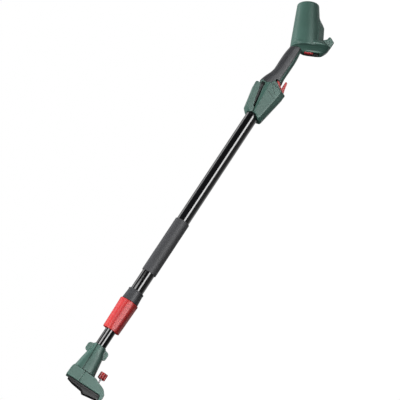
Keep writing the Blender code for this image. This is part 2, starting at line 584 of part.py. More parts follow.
# ---- the tool adapter ----
def funnel_solid(name):
    rings = [[(x, y, z) for y, z in oval(w, low, high, 2.2 + 1.4 * (ADAPTER_REAR - x) / 68.0)]
             for x, w, low, high in FUNNEL_STATIONS]
    return loft(name, rings)


def split_space(name, above):
    """All of the space above, or below, the joint between the two mouldings."""
    gap = ADAPTER_GROOVE / 2 if above else -ADAPTER_GROOVE / 2
    far = 80.0 if above else -80.0
    return prism(name, [(-400, SPLIT_REAR + gap), (-490, SPLIT_FRONT + gap), (-490, far), (-400, far)], 60.0,
                 helper=True)


def adapter_hollow(name):
    return box(name, (-477, -12, -18), (INNER_TUBE_FRONT - 4.0, 12, 17), helper=True)


def tube_bore(name):
    return rod(name, INNER_TUBE_FRONT - FIT, -380, INNER_TUBE_R + FIT, (0, 0), "X", sides=ROUND, helper=True)


def lead_bore(name):
    return rod(name, -460, -440, INNER_TUBE_R - 2.0, (0, 0), "X", helper=True)


EAR_SCREW = (-427.5, 21.5)
COVER_SCREW = (-464.0, 18.5)
PLUG_SCREW = (15.0, -14.0)
BODY_SCREW_TOP = 14.0

body = funnel_solid("adapter_body")
foot_upper = prism("foot_upper", FOOT_UPPER, ADAPTER_HALF_WIDTH, helper=True)
round_edges(foot_upper, 2.5)
ear = prism("ear_upper", EAR, 8.0, helper=True)
round_edges(ear, 1.0)
keep(body, split_space("split_above", True))
add(body, foot_upper, ear)
cover_part = funnel_solid("adapter_cover")
ear = prism("ear_lower", [(x, -z) for x, z in EAR], 8.0, helper=True)
round_edges(ear, 1.0)
keep(cover_part, split_space("split_below", False))
add(cover_part, ear)
cut(cover_part, box("cover_end", (-490, -60, -60), (ADAPTER_SEAM_X + 0.9, 60, 60), helper=True))
for part, sign, end in ((body, 1, "top"), (cover_part, -1, "bottom")):
    cut(part, tube_bore(f"tube_bore_{end}"), adapter_hollow(f"adapter_hollow_{end}"), lead_bore(f"lead_bore_{end}"),
        rod(f"ear_bore_{end}", -7.4, 20, SCREW_R + FIT, (EAR_SCREW[0], sign * EAR_SCREW[1]), helper=True),
        rod(f"ear_sink_{end}", 5.0, 30, SCREW_HEAD_R + FIT, (EAR_SCREW[0], sign * EAR_SCREW[1]), helper=True))
    turned(f"ear_screw_{end}", [(-7.0, 0.0), (-7.0, SCREW_R), (5.0 + FIT, SCREW_R), (5.0 + FIT, SCREW_HEAD_R),
                                (7.0, SCREW_HEAD_R), (7.0, 0.0)], POLE, STEEL, 10, "Y", (EAR_SCREW[0], sign * EAR_SCREW[1]))
for side, name in ((-1, "left"), (1, "right")):
    place = (COVER_SCREW[0], side * COVER_SCREW[1])
    cut(body, rod(f"cover_screw_bore_{name}", -30, BODY_SCREW_TOP, SCREW_R + FIT, place, "Z", helper=True))
    cut(cover_part, rod(f"cover_screw_hole_{name}", -40, 30, SCREW_R + FIT, place, "Z", helper=True),
        rod(f"cover_screw_sink_{name}", -60, -16.0, SCREW_HEAD_R + FIT, place, "Z", helper=True))
    turned(f"cover_screw_{name}", [(-18.3, 0.0), (-18.3, SCREW_HEAD_R), (-16.0 - FIT, SCREW_HEAD_R),
                                   (-16.0 - FIT, SCREW_R), (BODY_SCREW_TOP - 1.0, SCREW_R),
                                   (BODY_SCREW_TOP - 1.0, 0.0)], POLE, STEEL, 10, "Z", place)

toe = prism("adapter_toe", ADAPTER_TOE, ADAPTER_HALF_WIDTH)
round_edges(toe, 2.0)
cut(toe, rod("stem_bore", -560, -400, STEM_R + 0.4, (0, KNOB_Z), "X", helper=True),
    rod("insert_bore", -498.3, -400, INSERT_R + FIT, (0, KNOB_Z), "X", helper=True))
turned("thread_insert", [(-498.0, STEM_R + FIT), (-498.0, INSERT_R), (-487.5, INSERT_R), (-487.5, STEM_R + FIT)],
       paint=BRASS, sides=16, centre=(0, KNOB_Z))

plug = prism("slide_plug", PLUG, 31.0, paint=BLACK)
round_edges(plug, 1.0)
cut(plug, box("rail_left", (-516.5, -60, -80), (-512.5, -26.0, 80), helper=True),
    box("rail_right", (-516.5, 26.0, -80), (-512.5, 60, 80), helper=True),
    rod("plug_stem_bore", STEM_FRONT - 1.0, -400, STEM_R + 0.4, (0, KNOB_Z), "X", helper=True))
for side, name in ((-1, "left"), (1, "right")):
    y = side * 9.0
    cut(plug, box(f"plug_slot_{name}", (-530, y - 0.9, 0.6 - 12.0), (-510.8, y + 0.9, 0.0), helper=True))
    box(f"plug_blade_{name}", (-517.0, y - 0.5, -10.8), (-511.2, y + 0.5, -0.6), paint=BRASS)
    place = (side * PLUG_SCREW[0], PLUG_SCREW[1])
    cut(plug, rod(f"plug_screw_hole_{name}", -540, -500, SCREW_R + FIT, place, "X", helper=True),
        rod(f"plug_screw_sink_{name}", -540, -513.0, SCREW_HEAD_R + FIT, place, "X", helper=True))
    cut(toe, rod(f"plug_screw_bore_{name}", -520, -497.0, SCREW_R + FIT, place, "X", helper=True))
    turned(f"plug_screw_{name}", [(-515.3, 0.0), (-515.3, SCREW_HEAD_R), (-513.0 - FIT, SCREW_HEAD_R),
                                  (-513.0 - FIT, SCREW_R), (-498.0, SCREW_R), (-498.0, 0.0)], POLE, STEEL, 10, "X",
           place)

# ---- the thumbscrew ----
lobes = []
for x, shrink in ((KNOB_FRONT, 1.2), (KNOB_FRONT + 1.2, 0.0), (KNOB_REAR - 1.2, 0.0), (KNOB_REAR, 1.2)):
    ring = []
    for i in range(48):
        lean = math.tau * i / 48
        r = KNOB_R - shrink - 2.2 * (0.5 - 0.5 * math.cos(6 * lean)) ** 2
        ring.append((x, r * math.cos(lean), KNOB_Z + r * math.sin(lean)))
    lobes.append(ring)
knob = loft("thumb_knob", lobes, paint=RED)
cut(knob, rod("knob_bore", KNOB_FRONT - 5, KNOB_REAR - 4.0, STEM_R + FIT, (0, KNOB_Z), "X", helper=True))
rod("thumb_screw", STEM_FRONT, KNOB_REAR - 4.4, STEM_R, (0, KNOB_Z), "X", sides=16)
washer_rear = KNOB_FRONT - FIT
turned("captive_washer", [(washer_rear - WASHER_THICKNESS, STEM_R + FIT), (washer_rear - WASHER_THICKNESS, WASHER_R),
                          (washer_rear, WASHER_R), (washer_rear, STEM_R + FIT)], paint=STEEL, sides=16,
       centre=(0, KNOB_Z))
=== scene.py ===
# %% [markdown]
# # A telescopic pole for battery hedge shears
#
# This lesson dresses a working CAD model. The model already knows where each piece sits and how it moves.
# What it lacks is the look: its round pieces have flat sides and its plastic has no grain. So each visible
# piece is built again here with finer geometry, and it rides on the CAD body that it belongs to.

# %% Load the working model
import json
import math

import bmesh
import bpy
from mathutils import Matrix, Vector

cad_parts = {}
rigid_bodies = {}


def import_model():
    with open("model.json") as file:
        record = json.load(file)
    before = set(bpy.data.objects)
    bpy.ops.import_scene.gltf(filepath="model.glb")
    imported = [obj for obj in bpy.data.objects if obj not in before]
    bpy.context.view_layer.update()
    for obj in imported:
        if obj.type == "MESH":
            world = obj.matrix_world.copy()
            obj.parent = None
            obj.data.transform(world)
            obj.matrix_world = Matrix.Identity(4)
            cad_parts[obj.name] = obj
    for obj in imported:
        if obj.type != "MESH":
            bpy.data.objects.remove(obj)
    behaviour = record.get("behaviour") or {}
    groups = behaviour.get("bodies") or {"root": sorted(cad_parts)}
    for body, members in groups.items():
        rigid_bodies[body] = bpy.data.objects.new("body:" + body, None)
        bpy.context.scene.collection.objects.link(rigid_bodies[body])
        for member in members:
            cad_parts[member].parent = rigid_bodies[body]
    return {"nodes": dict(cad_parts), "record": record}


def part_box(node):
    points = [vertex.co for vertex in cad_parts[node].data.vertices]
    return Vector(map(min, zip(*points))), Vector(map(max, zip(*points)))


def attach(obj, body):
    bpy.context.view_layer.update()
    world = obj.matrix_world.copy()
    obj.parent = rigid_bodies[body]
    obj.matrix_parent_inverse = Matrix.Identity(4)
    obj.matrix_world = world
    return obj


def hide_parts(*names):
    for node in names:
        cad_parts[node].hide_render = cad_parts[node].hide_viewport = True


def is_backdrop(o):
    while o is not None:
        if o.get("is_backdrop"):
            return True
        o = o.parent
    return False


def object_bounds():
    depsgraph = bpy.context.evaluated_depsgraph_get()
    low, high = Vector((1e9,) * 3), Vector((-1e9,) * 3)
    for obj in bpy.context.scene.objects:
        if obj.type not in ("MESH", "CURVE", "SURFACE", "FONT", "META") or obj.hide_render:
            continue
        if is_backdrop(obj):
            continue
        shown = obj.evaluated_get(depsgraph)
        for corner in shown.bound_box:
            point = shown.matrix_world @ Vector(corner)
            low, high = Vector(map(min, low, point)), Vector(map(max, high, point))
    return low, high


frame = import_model()
cad_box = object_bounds()
bpy.context.scene.view_settings.view_transform = "Standard"

# %% [markdown]
# ## Two frames of reference
#
# The pole is straight and the battery head leans back from it, so almost every size is easiest to give
# either along the pole or along the head. Both frames are matrices that turn millimetres into scene metres.
# The tube's own box says where the pole's axis runs, so nothing here is placed by eye.

# %% The pole's frame and the head's frame
tube_low, tube_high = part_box("outer_tube")
TUBE_REAR = 296.0
AXIS_HEIGHT = (tube_low.z + tube_high.z) / 2
POLE = Matrix.Translation((tube_high.x - TUBE_REAR / 1000, 0.0, AXIS_HEIGHT)) @ Matrix.Scale(0.001, 4)
HEAD_LEAN = math.radians(62.3)
HEAD = POLE @ Matrix.Translation((484.6, 0.0, -9.6)) @ Matrix.Rotation(HEAD_LEAN, 4, "Y")
print(f"pole axis {AXIS_HEIGHT * 1000:.1f} mm above the floor")


# %% [markdown]
# ## Camera and light
#
# The object is seen level, from a little to the left of square-on, with the camera rolled so that the pole
# climbs to the upper right. A long lens keeps the pole's sides almost parallel. The roll is easiest to
# build as a matrix: the pole's direction and the upright are mixed into the picture's right and up.

# %% Camera
VIEW_TURN = math.radians(15.0)
VIEW_ROLL = math.radians(56.58)
DISTANCE = 2.68
forward = Vector((math.sin(VIEW_TURN), math.cos(VIEW_TURN), 0.0))
level_right = Vector((math.cos(VIEW_TURN), -math.sin(VIEW_TURN), 0.0))
upright = Vector((0.0, 0.0, 1.0))
right = level_right * math.cos(VIEW_ROLL) - upright * math.sin(VIEW_ROLL)
up = level_right * math.sin(VIEW_ROLL) + upright * math.cos(VIEW_ROLL)
camera_data = bpy.data.cameras.new("studio_camera")
camera_data.lens = 102.5
camera_data.clip_end = 50.0
camera = bpy.data.objects.new("studio_camera", camera_data)
bpy.context.scene.collection.objects.link(camera)
aim = POLE.translation + right * 0.0051 - up * 0.0033
turn = Matrix((right, up, -forward)).transposed().to_4x4()
camera.matrix_world = Matrix.Translation(aim - forward * DISTANCE) @ turn
bpy.context.scene.camera = camera

# %% [markdown]
# The background is plain white, but a white room all round would wash out the black tubes. So the world
# looks white to the camera and gives the object a softer light that fades from the ceiling to the floor.
# Shiny surfaces see something else again: a dark studio with pale walls behind the object. The angle round
# the pole picks the tone, so it stays a few lines of nodes.

# %% World
world = bpy.data.worlds.new("studio_world")
bpy.context.scene.world = world
world.use_nodes = True
tree = world.node_tree
tree.nodes.clear()


def world_node(kind, **settings):
    node = tree.nodes.new(kind)
    for key, value in settings.items():
        setattr(node, key, value)
    return node


def level(value_, low, high, floor=0.0, ceiling=1.0):
    """A Map Range node from low..high to floor..ceiling."""
    node = world_node("ShaderNodeMapRange")
    for label, value in (("From Min", low), ("From Max", high), ("To Min", floor), ("To Max", ceiling)):
        node.inputs[label].default_value = value
    tree.links.new(value_, node.inputs["Value"])
    return node.outputs["Result"]


def ramp(place, stops):
    node = world_node("ShaderNodeValToRGB")
    while len(node.color_ramp.elements) < len(stops):
        node.color_ramp.elements.new(0.5)
    for i, (where, _) in enumerate(stops):
        node.color_ramp.elements[i].position = where
    for stop, (_, colour) in zip(node.color_ramp.elements, stops):
        stop.color = (*colour, 1)
    tree.links.new(place, node.inputs["Fac"])
    return node.outputs["Color"]


def background(colour=None, strength=1.0):
    node = world_node("ShaderNodeBackground")
    node.inputs["Strength"].default_value = strength
    node.inputs["Color"].default_value = (1, 1, 1, 1)
    if colour is not None:
        tree.links.new(colour, node.inputs["Color"])
    return node


def either(which, no, yes):
    node = world_node("ShaderNodeMixShader")
    for socket, source in zip(node.inputs, (which, no, yes)):
        tree.links.new(source, socket)
    return node.outputs[0]


split = world_node("ShaderNodeSeparateXYZ")
tree.links.new(world_node("ShaderNodeTexCoord").outputs["Generated"], split.inputs[0])
room = background(ramp(level(split.outputs["Z"], -1.0, 1.0),
                       ((0.0, (0.16, 0.17, 0.17)), (0.5, (0.36, 0.37, 0.38)), (1.0, (0.95, 0.97, 1.0)))), 0.5)

# %% What shiny surfaces see: (degrees round the pole, tone)
PANELS = ((-180, 0.075), (-112, 0.065), (-96, 0.020), (-40, 0.016), (-31, 0.016), (-5, 0.008), (4, 0.002),
          (78, 0.001), (104, 0.045), (179, 0.075))
turned_away = world_node("ShaderNodeMath", operation="MULTIPLY")
turned_away.inputs[1].default_value = -1.0
tree.links.new(split.outputs["Y"], turned_away.inputs[0])
lean_angle = world_node("ShaderNodeMath", operation="ARCTAN2")
tree.links.new(split.outputs["Z"], lean_angle.inputs[0])
tree.links.new(turned_away.outputs[0], lean_angle.inputs[1])
studio = background(ramp(level(lean_angle.outputs[0], -math.pi, math.pi),
                         [(degrees / 360 + 0.5, (tone, tone, tone)) for degrees, tone in PANELS]))
tree.links.new(level(split.outputs["X"], -0.01, 0.10, 0.1, 10.0), studio.inputs["Strength"])
ray = world_node("ShaderNodeLightPath")
shiny_or_not = either(ray.outputs["Is Glossy Ray"], room.outputs[0], studio.outputs[0])
seen = either(ray.outputs["Is Camera Ray"], shiny_or_not, background().outputs[0])
tree.links.new(seen, world_node("ShaderNodeOutputWorld").inputs["Surface"])

# %% [markdown]
# Four soft lamps do the rest. A big one above the left shoulder models the green mouldings, one from above
# lights the rims, and a weak one fills from below. The long one in front only shows in shiny surfaces, where
# it draws the bright line down the tubes.


# %% Lamps
def softbox(name, toward, away, width, height_m, power, colour=(1, 1, 1)):
    data = bpy.data.lights.new(name, "AREA")
    data.shape = "RECTANGLE"
    data.size, data.size_y = width, height_m
    data.energy = power
    data.color = colour
    lamp = bpy.data.objects.new(name, data)
    bpy.context.scene.collection.objects.link(lamp)
    offset = Vector(toward).normalized()
    lamp.location = POLE.translation + offset * away
    facing = -offset
    lamp.rotation_mode = "QUATERNION"
    lamp_up = Vector((1, 0, 0)).cross(facing).normalized()
    side = facing.cross(lamp_up).normalized()
    lamp.rotation_quaternion = Matrix((side, lamp_up, -facing)).transposed().to_quaternion()
    lamp.visible_camera = False
    return lamp


softbox("key_softbox", (-0.42, -0.58, 0.70), 1.6, 1.2, 0.8, 17.0)
softbox("top_softbox", (0.1, 0.30, 1.0), 1.8, 2.4, 0.5, 9.0)
stripe = softbox("stripe_softbox", (0.10, -0.95, -0.31), 1.5, 2.6, 0.62, 42.0)
stripe.visible_diffuse = False
softbox("low_softbox", (0.45, -1.0, -0.22), 2.0, 1.4, 0.5, 3.0)

# %% [markdown]
# The floor is a pale sheet that the camera sees as white. It takes only a trace of shadow and throws no
# light back, because the object should keep its dark undersides.

# %% Floor
floor_mesh = bpy.data.meshes.new("studio_floor")
floor_mesh.from_pydata([(-30, -30, -0.0004), (30, -30, -0.0004), (30, 30, -0.0004), (-30, 30, -0.0004)], [],
                       [(0, 1, 2, 3)])
floor = bpy.data.objects.new("studio_floor", floor_mesh)
bpy.context.scene.collection.objects.link(floor)
floor_paint = bpy.data.materials.new("studio_floor")
floor_paint.use_nodes = True
floor_shader = floor_paint.node_tree.nodes["Principled BSDF"]
floor_shader.inputs["Base Color"].default_value = (0.1, 0.1, 0.1, 1)
floor_shader.inputs["Roughness"].default_value = 0.9
floor_shader.inputs["Specular IOR Level"].default_value = 0.0
floor_shader.inputs["Emission Color"].default_value = (1, 1, 1, 1)
floor_shader.inputs["Emission Strength"].default_value = 0.97
floor_mesh.materials.append(floor_paint)
floor.visible_diffuse = False
floor.visible_glossy = False
floor.visible_shadow = False
floor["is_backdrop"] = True


# %% [markdown]
# ## Shared surface effects
#
# Moulded plastic is never one flat colour. The tool leaves a fine grain, the colour drifts a little over a
# large moulding, corners that rub turn paler, and hollows keep some dust. Each effect is one node group, so
# that every material can use it with its own amounts.

# %% A helper that makes a node group
def effect(name, inputs, outputs):
    group = bpy.data.node_groups.new(name, "ShaderNodeTree")
    for label, kind, value in inputs:
        socket = group.interface.new_socket(name=label, in_out="INPUT", socket_type=kind)
        socket.default_value = value
    for label, kind in outputs:
        group.interface.new_socket(name=label, in_out="OUTPUT", socket_type=kind)
    return group, group.nodes.new("NodeGroupInput"), group.nodes.new("NodeGroupOutput")


def noise(tree_, scale, detail, vector, link_scale=None):
    node = tree_.nodes.new("ShaderNodeTexNoise")
    node.inputs["Scale"].default_value = scale
    node.inputs["Detail"].default_value = detail
    if link_scale is not None:
        tree_.links.new(link_scale, node.inputs["Scale"])
    tree_.links.new(vector, node.inputs["Vector"])
    return node


def maths(tree_, operation, a, b=None):
    node = tree_.nodes.new("ShaderNodeMath")
    node.operation = operation
    for socket, value in zip(node.inputs, (a, b)):
        if value is None:
            continue
        if isinstance(value, (int, float)):
            socket.default_value = value
        else:
            tree_.links.new(value, socket)
    return node.outputs[0]


# %% Grain: the fine texture of the mould
def local_place(group):
    """Coordinates that stay with the piece, in metres."""
    return group.nodes.new("ShaderNodeTexCoord").outputs["Object"]


GRAIN, come, go = effect("mould_grain", [("Scale", "NodeSocketFloat", 1400.0),
                                         ("Depth", "NodeSocketFloat", 0.5)],
                         [("Height", "NodeSocketFloat")])
fine = noise(GRAIN, 1400.0, 3.0, local_place(GRAIN), come.outputs["Scale"])
GRAIN.links.new(maths(GRAIN, "MULTIPLY", fine.outputs["Fac"], come.outputs["Depth"]), go.inputs["Height"])

# %% Tone: a slow drift of colour over a large piece
TONE, come, go = effect("tone_drift", [("Color", "NodeSocketColor", (0.5, 0.5, 0.5, 1)),
                                       ("Drift", "NodeSocketFloat", 0.1), ("Scale", "NodeSocketFloat", 18.0)],
                        [("Color", "NodeSocketColor")])
slow = noise(TONE, 18.0, 4.0, local_place(TONE), come.outputs["Scale"])
swing = maths(TONE, "MULTIPLY", maths(TONE, "SUBTRACT", slow.outputs["Fac"], 0.5), come.outputs["Drift"])
brighten = TONE.nodes.new("ShaderNodeHueSaturation")
TONE.links.new(maths(TONE, "ADD", maths(TONE, "MULTIPLY", swing, 4.0), 1.0), brighten.inputs["Value"])
TONE.links.new(maths(TONE, "ADD", maths(TONE, "MULTIPLY", swing, 0.12), 0.5), brighten.inputs["Hue"])
TONE.links.new(come.outputs["Color"], brighten.inputs["Color"])
TONE.links.new(brighten.outputs["Color"], go.inputs["Color"])

# %% Wear: paler where a convex edge has rubbed
WEAR, come, go = effect("edge_wear", [("Amount", "NodeSocketFloat", 0.5),
                                      ("Patchiness", "NodeSocketFloat", 90.0)],
                        [("Mask", "NodeSocketFloat")])
shape = WEAR.nodes.new("ShaderNodeNewGeometry")
bulge = WEAR.nodes.new("ShaderNodeMapRange")
bulge.inputs["From Min"].default_value = 0.53
bulge.inputs["From Max"].default_value = 0.64
WEAR.links.new(shape.outputs["Pointiness"], bulge.inputs["Value"])
patches = noise(WEAR, 90.0, 5.0, local_place(WEAR), come.outputs["Patchiness"])
rubbed = maths(WEAR, "MULTIPLY", bulge.outputs["Result"], patches.outputs["Fac"])
WEAR.links.new(maths(WEAR, "MULTIPLY", rubbed, come.outputs["Amount"]), go.inputs["Mask"])

# %% Dust: a thin film in hollows
DUST, come, go = effect("settled_dust", [("Amount", "NodeSocketFloat", 0.2)], [("Mask", "NodeSocketFloat")])
shape = DUST.nodes.new("ShaderNodeNewGeometry")
hollow = DUST.nodes.new("ShaderNodeMapRange")
hollow.inputs["From Min"].default_value = 0.50
hollow.inputs["From Max"].default_value = 0.42
DUST.links.new(shape.outputs["Pointiness"], hollow.inputs["Value"])
specks = noise(DUST, 260.0, 6.0, local_place(DUST))
DUST.links.new(maths(DUST, "MULTIPLY", maths(DUST, "MULTIPLY", hollow.outputs["Result"], specks.outputs["Fac"]),
                     come.outputs["Amount"]), go.inputs["Mask"])
print("effects:", ", ".join(group.name for group in (GRAIN, TONE, WEAR, DUST)))


# %% [markdown]
# ## A recipe for the mouldings
#
# All the hard plastics share one recipe: a drifting base colour, worn paler at the edges, dusted in the
# hollows, with the grain as a bump and a roughness that varies a little. Only the numbers differ, so a
# function builds each material from them.

# %% Plastics
def join_effect(tree_, group, **values):
    node = tree_.nodes.new("ShaderNodeGroup")
    node.node_tree = group
    for label, value in values.items():
        node.inputs[label].default_value = value
    return node


def blend_colour(tree_, mask, under, over):
    node = tree_.nodes.new("ShaderNodeMix")
    node.data_type = "RGBA"
    tree_.links.new(mask, node.inputs["Factor"])
    for socket, value in ((node.inputs[6], under), (node.inputs[7], over)):
        if isinstance(value, tuple):
            socket.default_value = (*value, 1)
        else:
            tree_.links.new(value, socket)
    return node.outputs[2]


def bump(tree_, height, distance, strength=1.0):
    node = tree_.nodes.new("ShaderNodeBump")
    node.inputs["Distance"].default_value = distance
    node.inputs["Strength"].default_value = strength
    tree_.links.new(height, node.inputs["Height"])
    return node.outputs["Normal"]


def new_finish(name):
    made = bpy.data.materials.new(name)
    made.use_nodes = True
    return made, made.node_tree, made.node_tree.nodes["Principled BSDF"]


def vary_roughness(tree_, shader, middle, swing, scale):
    place = tree_.nodes.new("ShaderNodeTexCoord").outputs["Object"]
    patches = noise(tree_, scale, 4.0, place)
    spread = tree_.nodes.new("ShaderNodeMapRange")
    spread.inputs["To Min"].default_value = middle - swing
    spread.inputs["To Max"].default_value = middle + swing
    tree_.links.new(patches.outputs["Fac"], spread.inputs["Value"])
    tree_.links.new(spread.outputs["Result"], shader.inputs["Roughness"])


def plastic(name, colour, worn, roughness, grain=1400.0, depth=0.000012, drift=0.10, wear=0.5, dust=0.35,
            coat=0.0):
    made, tree_, shader = new_finish(name)
    tone = join_effect(tree_, TONE, Color=(*colour, 1), Drift=drift, Scale=22.0)
    rub = join_effect(tree_, WEAR, Amount=wear, Patchiness=120.0)
    film = join_effect(tree_, DUST, Amount=dust)
    rubbed = blend_colour(tree_, rub.outputs["Mask"], tone.outputs["Color"], worn)
    dusty = blend_colour(tree_, film.outputs["Mask"], rubbed, (0.30, 0.29, 0.26))
    tree_.links.new(dusty, shader.inputs["Base Color"])
    vary_roughness(tree_, shader, roughness, 0.05, 60.0)
    skin = join_effect(tree_, GRAIN, Scale=grain, Depth=1.0)
    tree_.links.new(bump(tree_, skin.outputs["Height"], depth), shader.inputs["Normal"])
    shader.inputs["Coat Weight"].default_value = coat
    shader.inputs["Specular IOR Level"].default_value = 0.4
    return made


GREEN = plastic("green_moulding", (0.085, 0.185, 0.150), (0.20, 0.32, 0.28), 0.40)
RED = plastic("red_moulding", (0.74, 0.035, 0.035), (0.85, 0.22, 0.20), 0.36, depth=0.000006, drift=0.06,
              wear=0.10, dust=0.1)
DARK_GREY = plastic("dark_grey_nylon", (0.050, 0.052, 0.057), (0.13, 0.13, 0.14), 0.50, depth=0.000006,
                    wear=0.15, dust=0.1)
BLACK = plastic("black_nylon", (0.010, 0.010, 0.011), (0.03, 0.03, 0.032), 0.34, depth=0.000006, wear=0.2,
                dust=0.0)
BOARD = plastic("circuit_board", (0.02, 0.12, 0.05), (0.10, 0.25, 0.12), 0.40)
SHEATH = plastic("cable_sheath", (0.02, 0.02, 0.02), (0.06, 0.06, 0.06), 0.50)

# %% [markdown]
# ## Soft grip and foam
#
# The over-moulded grip is a matt elastomer with a leathery dimple. The foam sleeve is closed-cell foam: tiny
# irregular cells, no shine at all, and a faint velvety rim. A Voronoi texture is a close picture of both,
# with large soft cells for the elastomer and small deep ones for the foam.


# %% Rubber and foam
def cellular(name, colour, pale, roughness, scale, depth, sheen):
    made, tree_, shader = new_finish(name)
    place = tree_.nodes.new("ShaderNodeTexCoord").outputs["Object"]
    cells = tree_.nodes.new("ShaderNodeTexVoronoi")
    cells.inputs["Scale"].default_value = scale
    tree_.links.new(place, cells.inputs["Vector"])
    tone = join_effect(tree_, TONE, Color=(*colour, 1), Drift=0.16, Scale=40.0)
    pore = maths(tree_, "MULTIPLY", cells.outputs["Distance"], 0.2)
    tree_.links.new(blend_colour(tree_, pore, tone.outputs["Color"], pale), shader.inputs["Base Color"])
    vary_roughness(tree_, shader, roughness, 0.06, 80.0)
    tree_.links.new(bump(tree_, cells.outputs["Distance"], depth), shader.inputs["Normal"])
    shader.inputs["Sheen Weight"].default_value = sheen
    shader.inputs["Sheen Roughness"].default_value = 0.6
    return made


RUBBER = cellular("soft_grip_rubber", (0.036, 0.037, 0.042), (0.060, 0.060, 0.068), 0.52, 950.0, 0.000012, 0.10)
FOAM = cellular("foam_rubber", (0.030, 0.031, 0.036), (0.075, 0.076, 0.084), 0.60, 1500.0, 0.000012, 0.20)


# %% [markdown]
# ## Metals
#
# The tubes are drawn aluminium with a glossy black coat, so they carry hair-fine lines that run along the
# pole. Stretching a noise texture along X gives those lines. The screws are zinc plated, a bright metal with
# a slightly milky, uneven roughness.

# %% Drawn black tube
def drawn_tube(name):
    made, tree_, shader = new_finish(name)
    place = tree_.nodes.new("ShaderNodeTexCoord").outputs["Object"]
    stretch = tree_.nodes.new("ShaderNodeMapping")
    stretch.inputs["Scale"].default_value = (4.0, 900.0, 900.0)
    tree_.links.new(place, stretch.inputs["Vector"])
    lines = noise(tree_, 1.0, 3.0, stretch.outputs["Vector"])
    tone = join_effect(tree_, TONE, Color=(0.0065, 0.0065, 0.0075, 1), Drift=0.12, Scale=14.0)
    rub = join_effect(tree_, WEAR, Amount=0.6, Patchiness=60.0)
    tree_.links.new(blend_colour(tree_, rub.outputs["Mask"], tone.outputs["Color"], (0.35, 0.35, 0.36)),
                    shader.inputs["Base Color"])
    spread = tree_.nodes.new("ShaderNodeMapRange")
    spread.inputs["To Min"].default_value = 0.10
    spread.inputs["To Max"].default_value = 0.17
    tree_.links.new(lines.outputs["Fac"], spread.inputs["Value"])
    tree_.links.new(spread.outputs["Result"], shader.inputs["Roughness"])
    tree_.links.new(bump(tree_, lines.outputs["Fac"], 0.000012), shader.inputs["Normal"])
    shader.inputs["Specular IOR Level"].default_value = 0.75
    shader.inputs["Coat Weight"].default_value = 0.4
    shader.inputs["Coat Roughness"].default_value = 0.12
    return made


def bare_metal(name, colour, roughness):
    made, tree_, shader = new_finish(name)
    tone = join_effect(tree_, TONE, Color=(*colour, 1), Drift=0.12, Scale=90.0)
    tree_.links.new(tone.outputs["Color"], shader.inputs["Base Color"])
    shader.inputs["Metallic"].default_value = 1.0
    vary_roughness(tree_, shader, roughness, 0.08, 400.0)
    skin = join_effect(tree_, GRAIN, Scale=2600.0, Depth=1.0)
    tree_.links.new(bump(tree_, skin.outputs["Height"], 0.00001), shader.inputs["Normal"])
    return made


TUBE = drawn_tube("black_anodised_tube")
STEEL = bare_metal("zinc_plated_steel", (0.62, 0.62, 0.64), 0.30)
BRASS = bare_metal("contact_brass", (0.78, 0.56, 0.22), 0.28)
FINISHES = {"green_moulding": GREEN, "red_moulding": RED, "soft_grip_rubber": RUBBER,
            "dark_grey_nylon": DARK_GREY,
            "black_nylon": BLACK, "foam_rubber": FOAM, "black_anodised_tube": TUBE, "zinc_plated_steel": STEEL,
            "contact_brass": BRASS, "circuit_board": BOARD, "cable_sheath": SHEATH}

# %% [markdown]
# Every CAD node first gets the finish of its own material slot. Most nodes are hidden inside the mouldings,
# and the ones that show are replaced further down by finer pieces.

# %% Dress the CAD nodes
for part in frame["record"]["subparts"]:
    node = frame["nodes"][part["node"]]
    node.data.materials.clear()
    node.data.materials.append(FINISHES[part["material_slot"]])
slot_of = {part["node"]: part["material_slot"] for part in frame["record"]["subparts"]}
body_of = {node: body for body, nodes in frame["record"]["behaviour"]["bodies"].items() for node in nodes}


# %% [markdown]
# ## Tools for making pieces
#
# Three shapes cover nearly the whole object. A *turned* piece is an outline spun round an axis, as on a
# lathe. A *loft* is a skin stretched over a row of rings. A *prism* is an outline with a thickness. Real
# mouldings have no knife edges, so the outlines get their corners rounded before they become solid.

# %% Outlines
def rounded(outline, radius, steps=4, closed=True):
    """The outline with each corner replaced by a small curve. A corner on the lathe's axis stays."""
    made = []
    count = len(outline)
    for i, corner in enumerate(outline):
        corner = Vector(corner)
        if not closed and i in (0, count - 1):
            made.append(tuple(corner))
            continue
        before, after = Vector(outline[i - 1]), Vector(outline[(i + 1) % count])
        back, ahead = before - corner, after - corner
        reach = min(radius, 0.45 * back.length, 0.45 * ahead.length)
        start, end = corner + back.normalized() * reach, corner + ahead.normalized() * reach
        for k in range(steps + 1):
            t = k / steps
            made.append(tuple(start * (1 - t) ** 2 + corner * 2 * t * (1 - t) + end * t * t))
    return made


def oval(half_width, low, high, power=2.6, count=96):
    """(y, z) points of a rounded section, flatter than an ellipse as power grows."""
    middle, half = (low + high) / 2, (high - low) / 2
    made = []
    for i in range(count):
        c, s = math.cos(math.tau * i / count), math.sin(math.tau * i / count)
        made.append((half_width * math.copysign(abs(c) ** (2 / power), c),
                     middle + half * math.copysign(abs(s) ** (2 / power), s)))
    return made


def eased(stations, between=6):
    """More stations on a smooth curve through the given ones."""
    rows = [Vector(row) for row in stations]
    rows = [2 * rows[0] - rows[1], *rows, 2 * rows[-1] - rows[-2]]
    made = [tuple(rows[1])]
    for a, b, c, d in zip(rows, rows[1:], rows[2:], rows[3:]):
        for i in range(1, between + 1):
            t = i / between
            made.append(tuple(0.5 * (2 * b + (c - a) * t + (2 * a - 5 * b + 4 * c - d) * t * t
                                     + (3 * b - a - 3 * c + d) * t ** 3)))
    return made


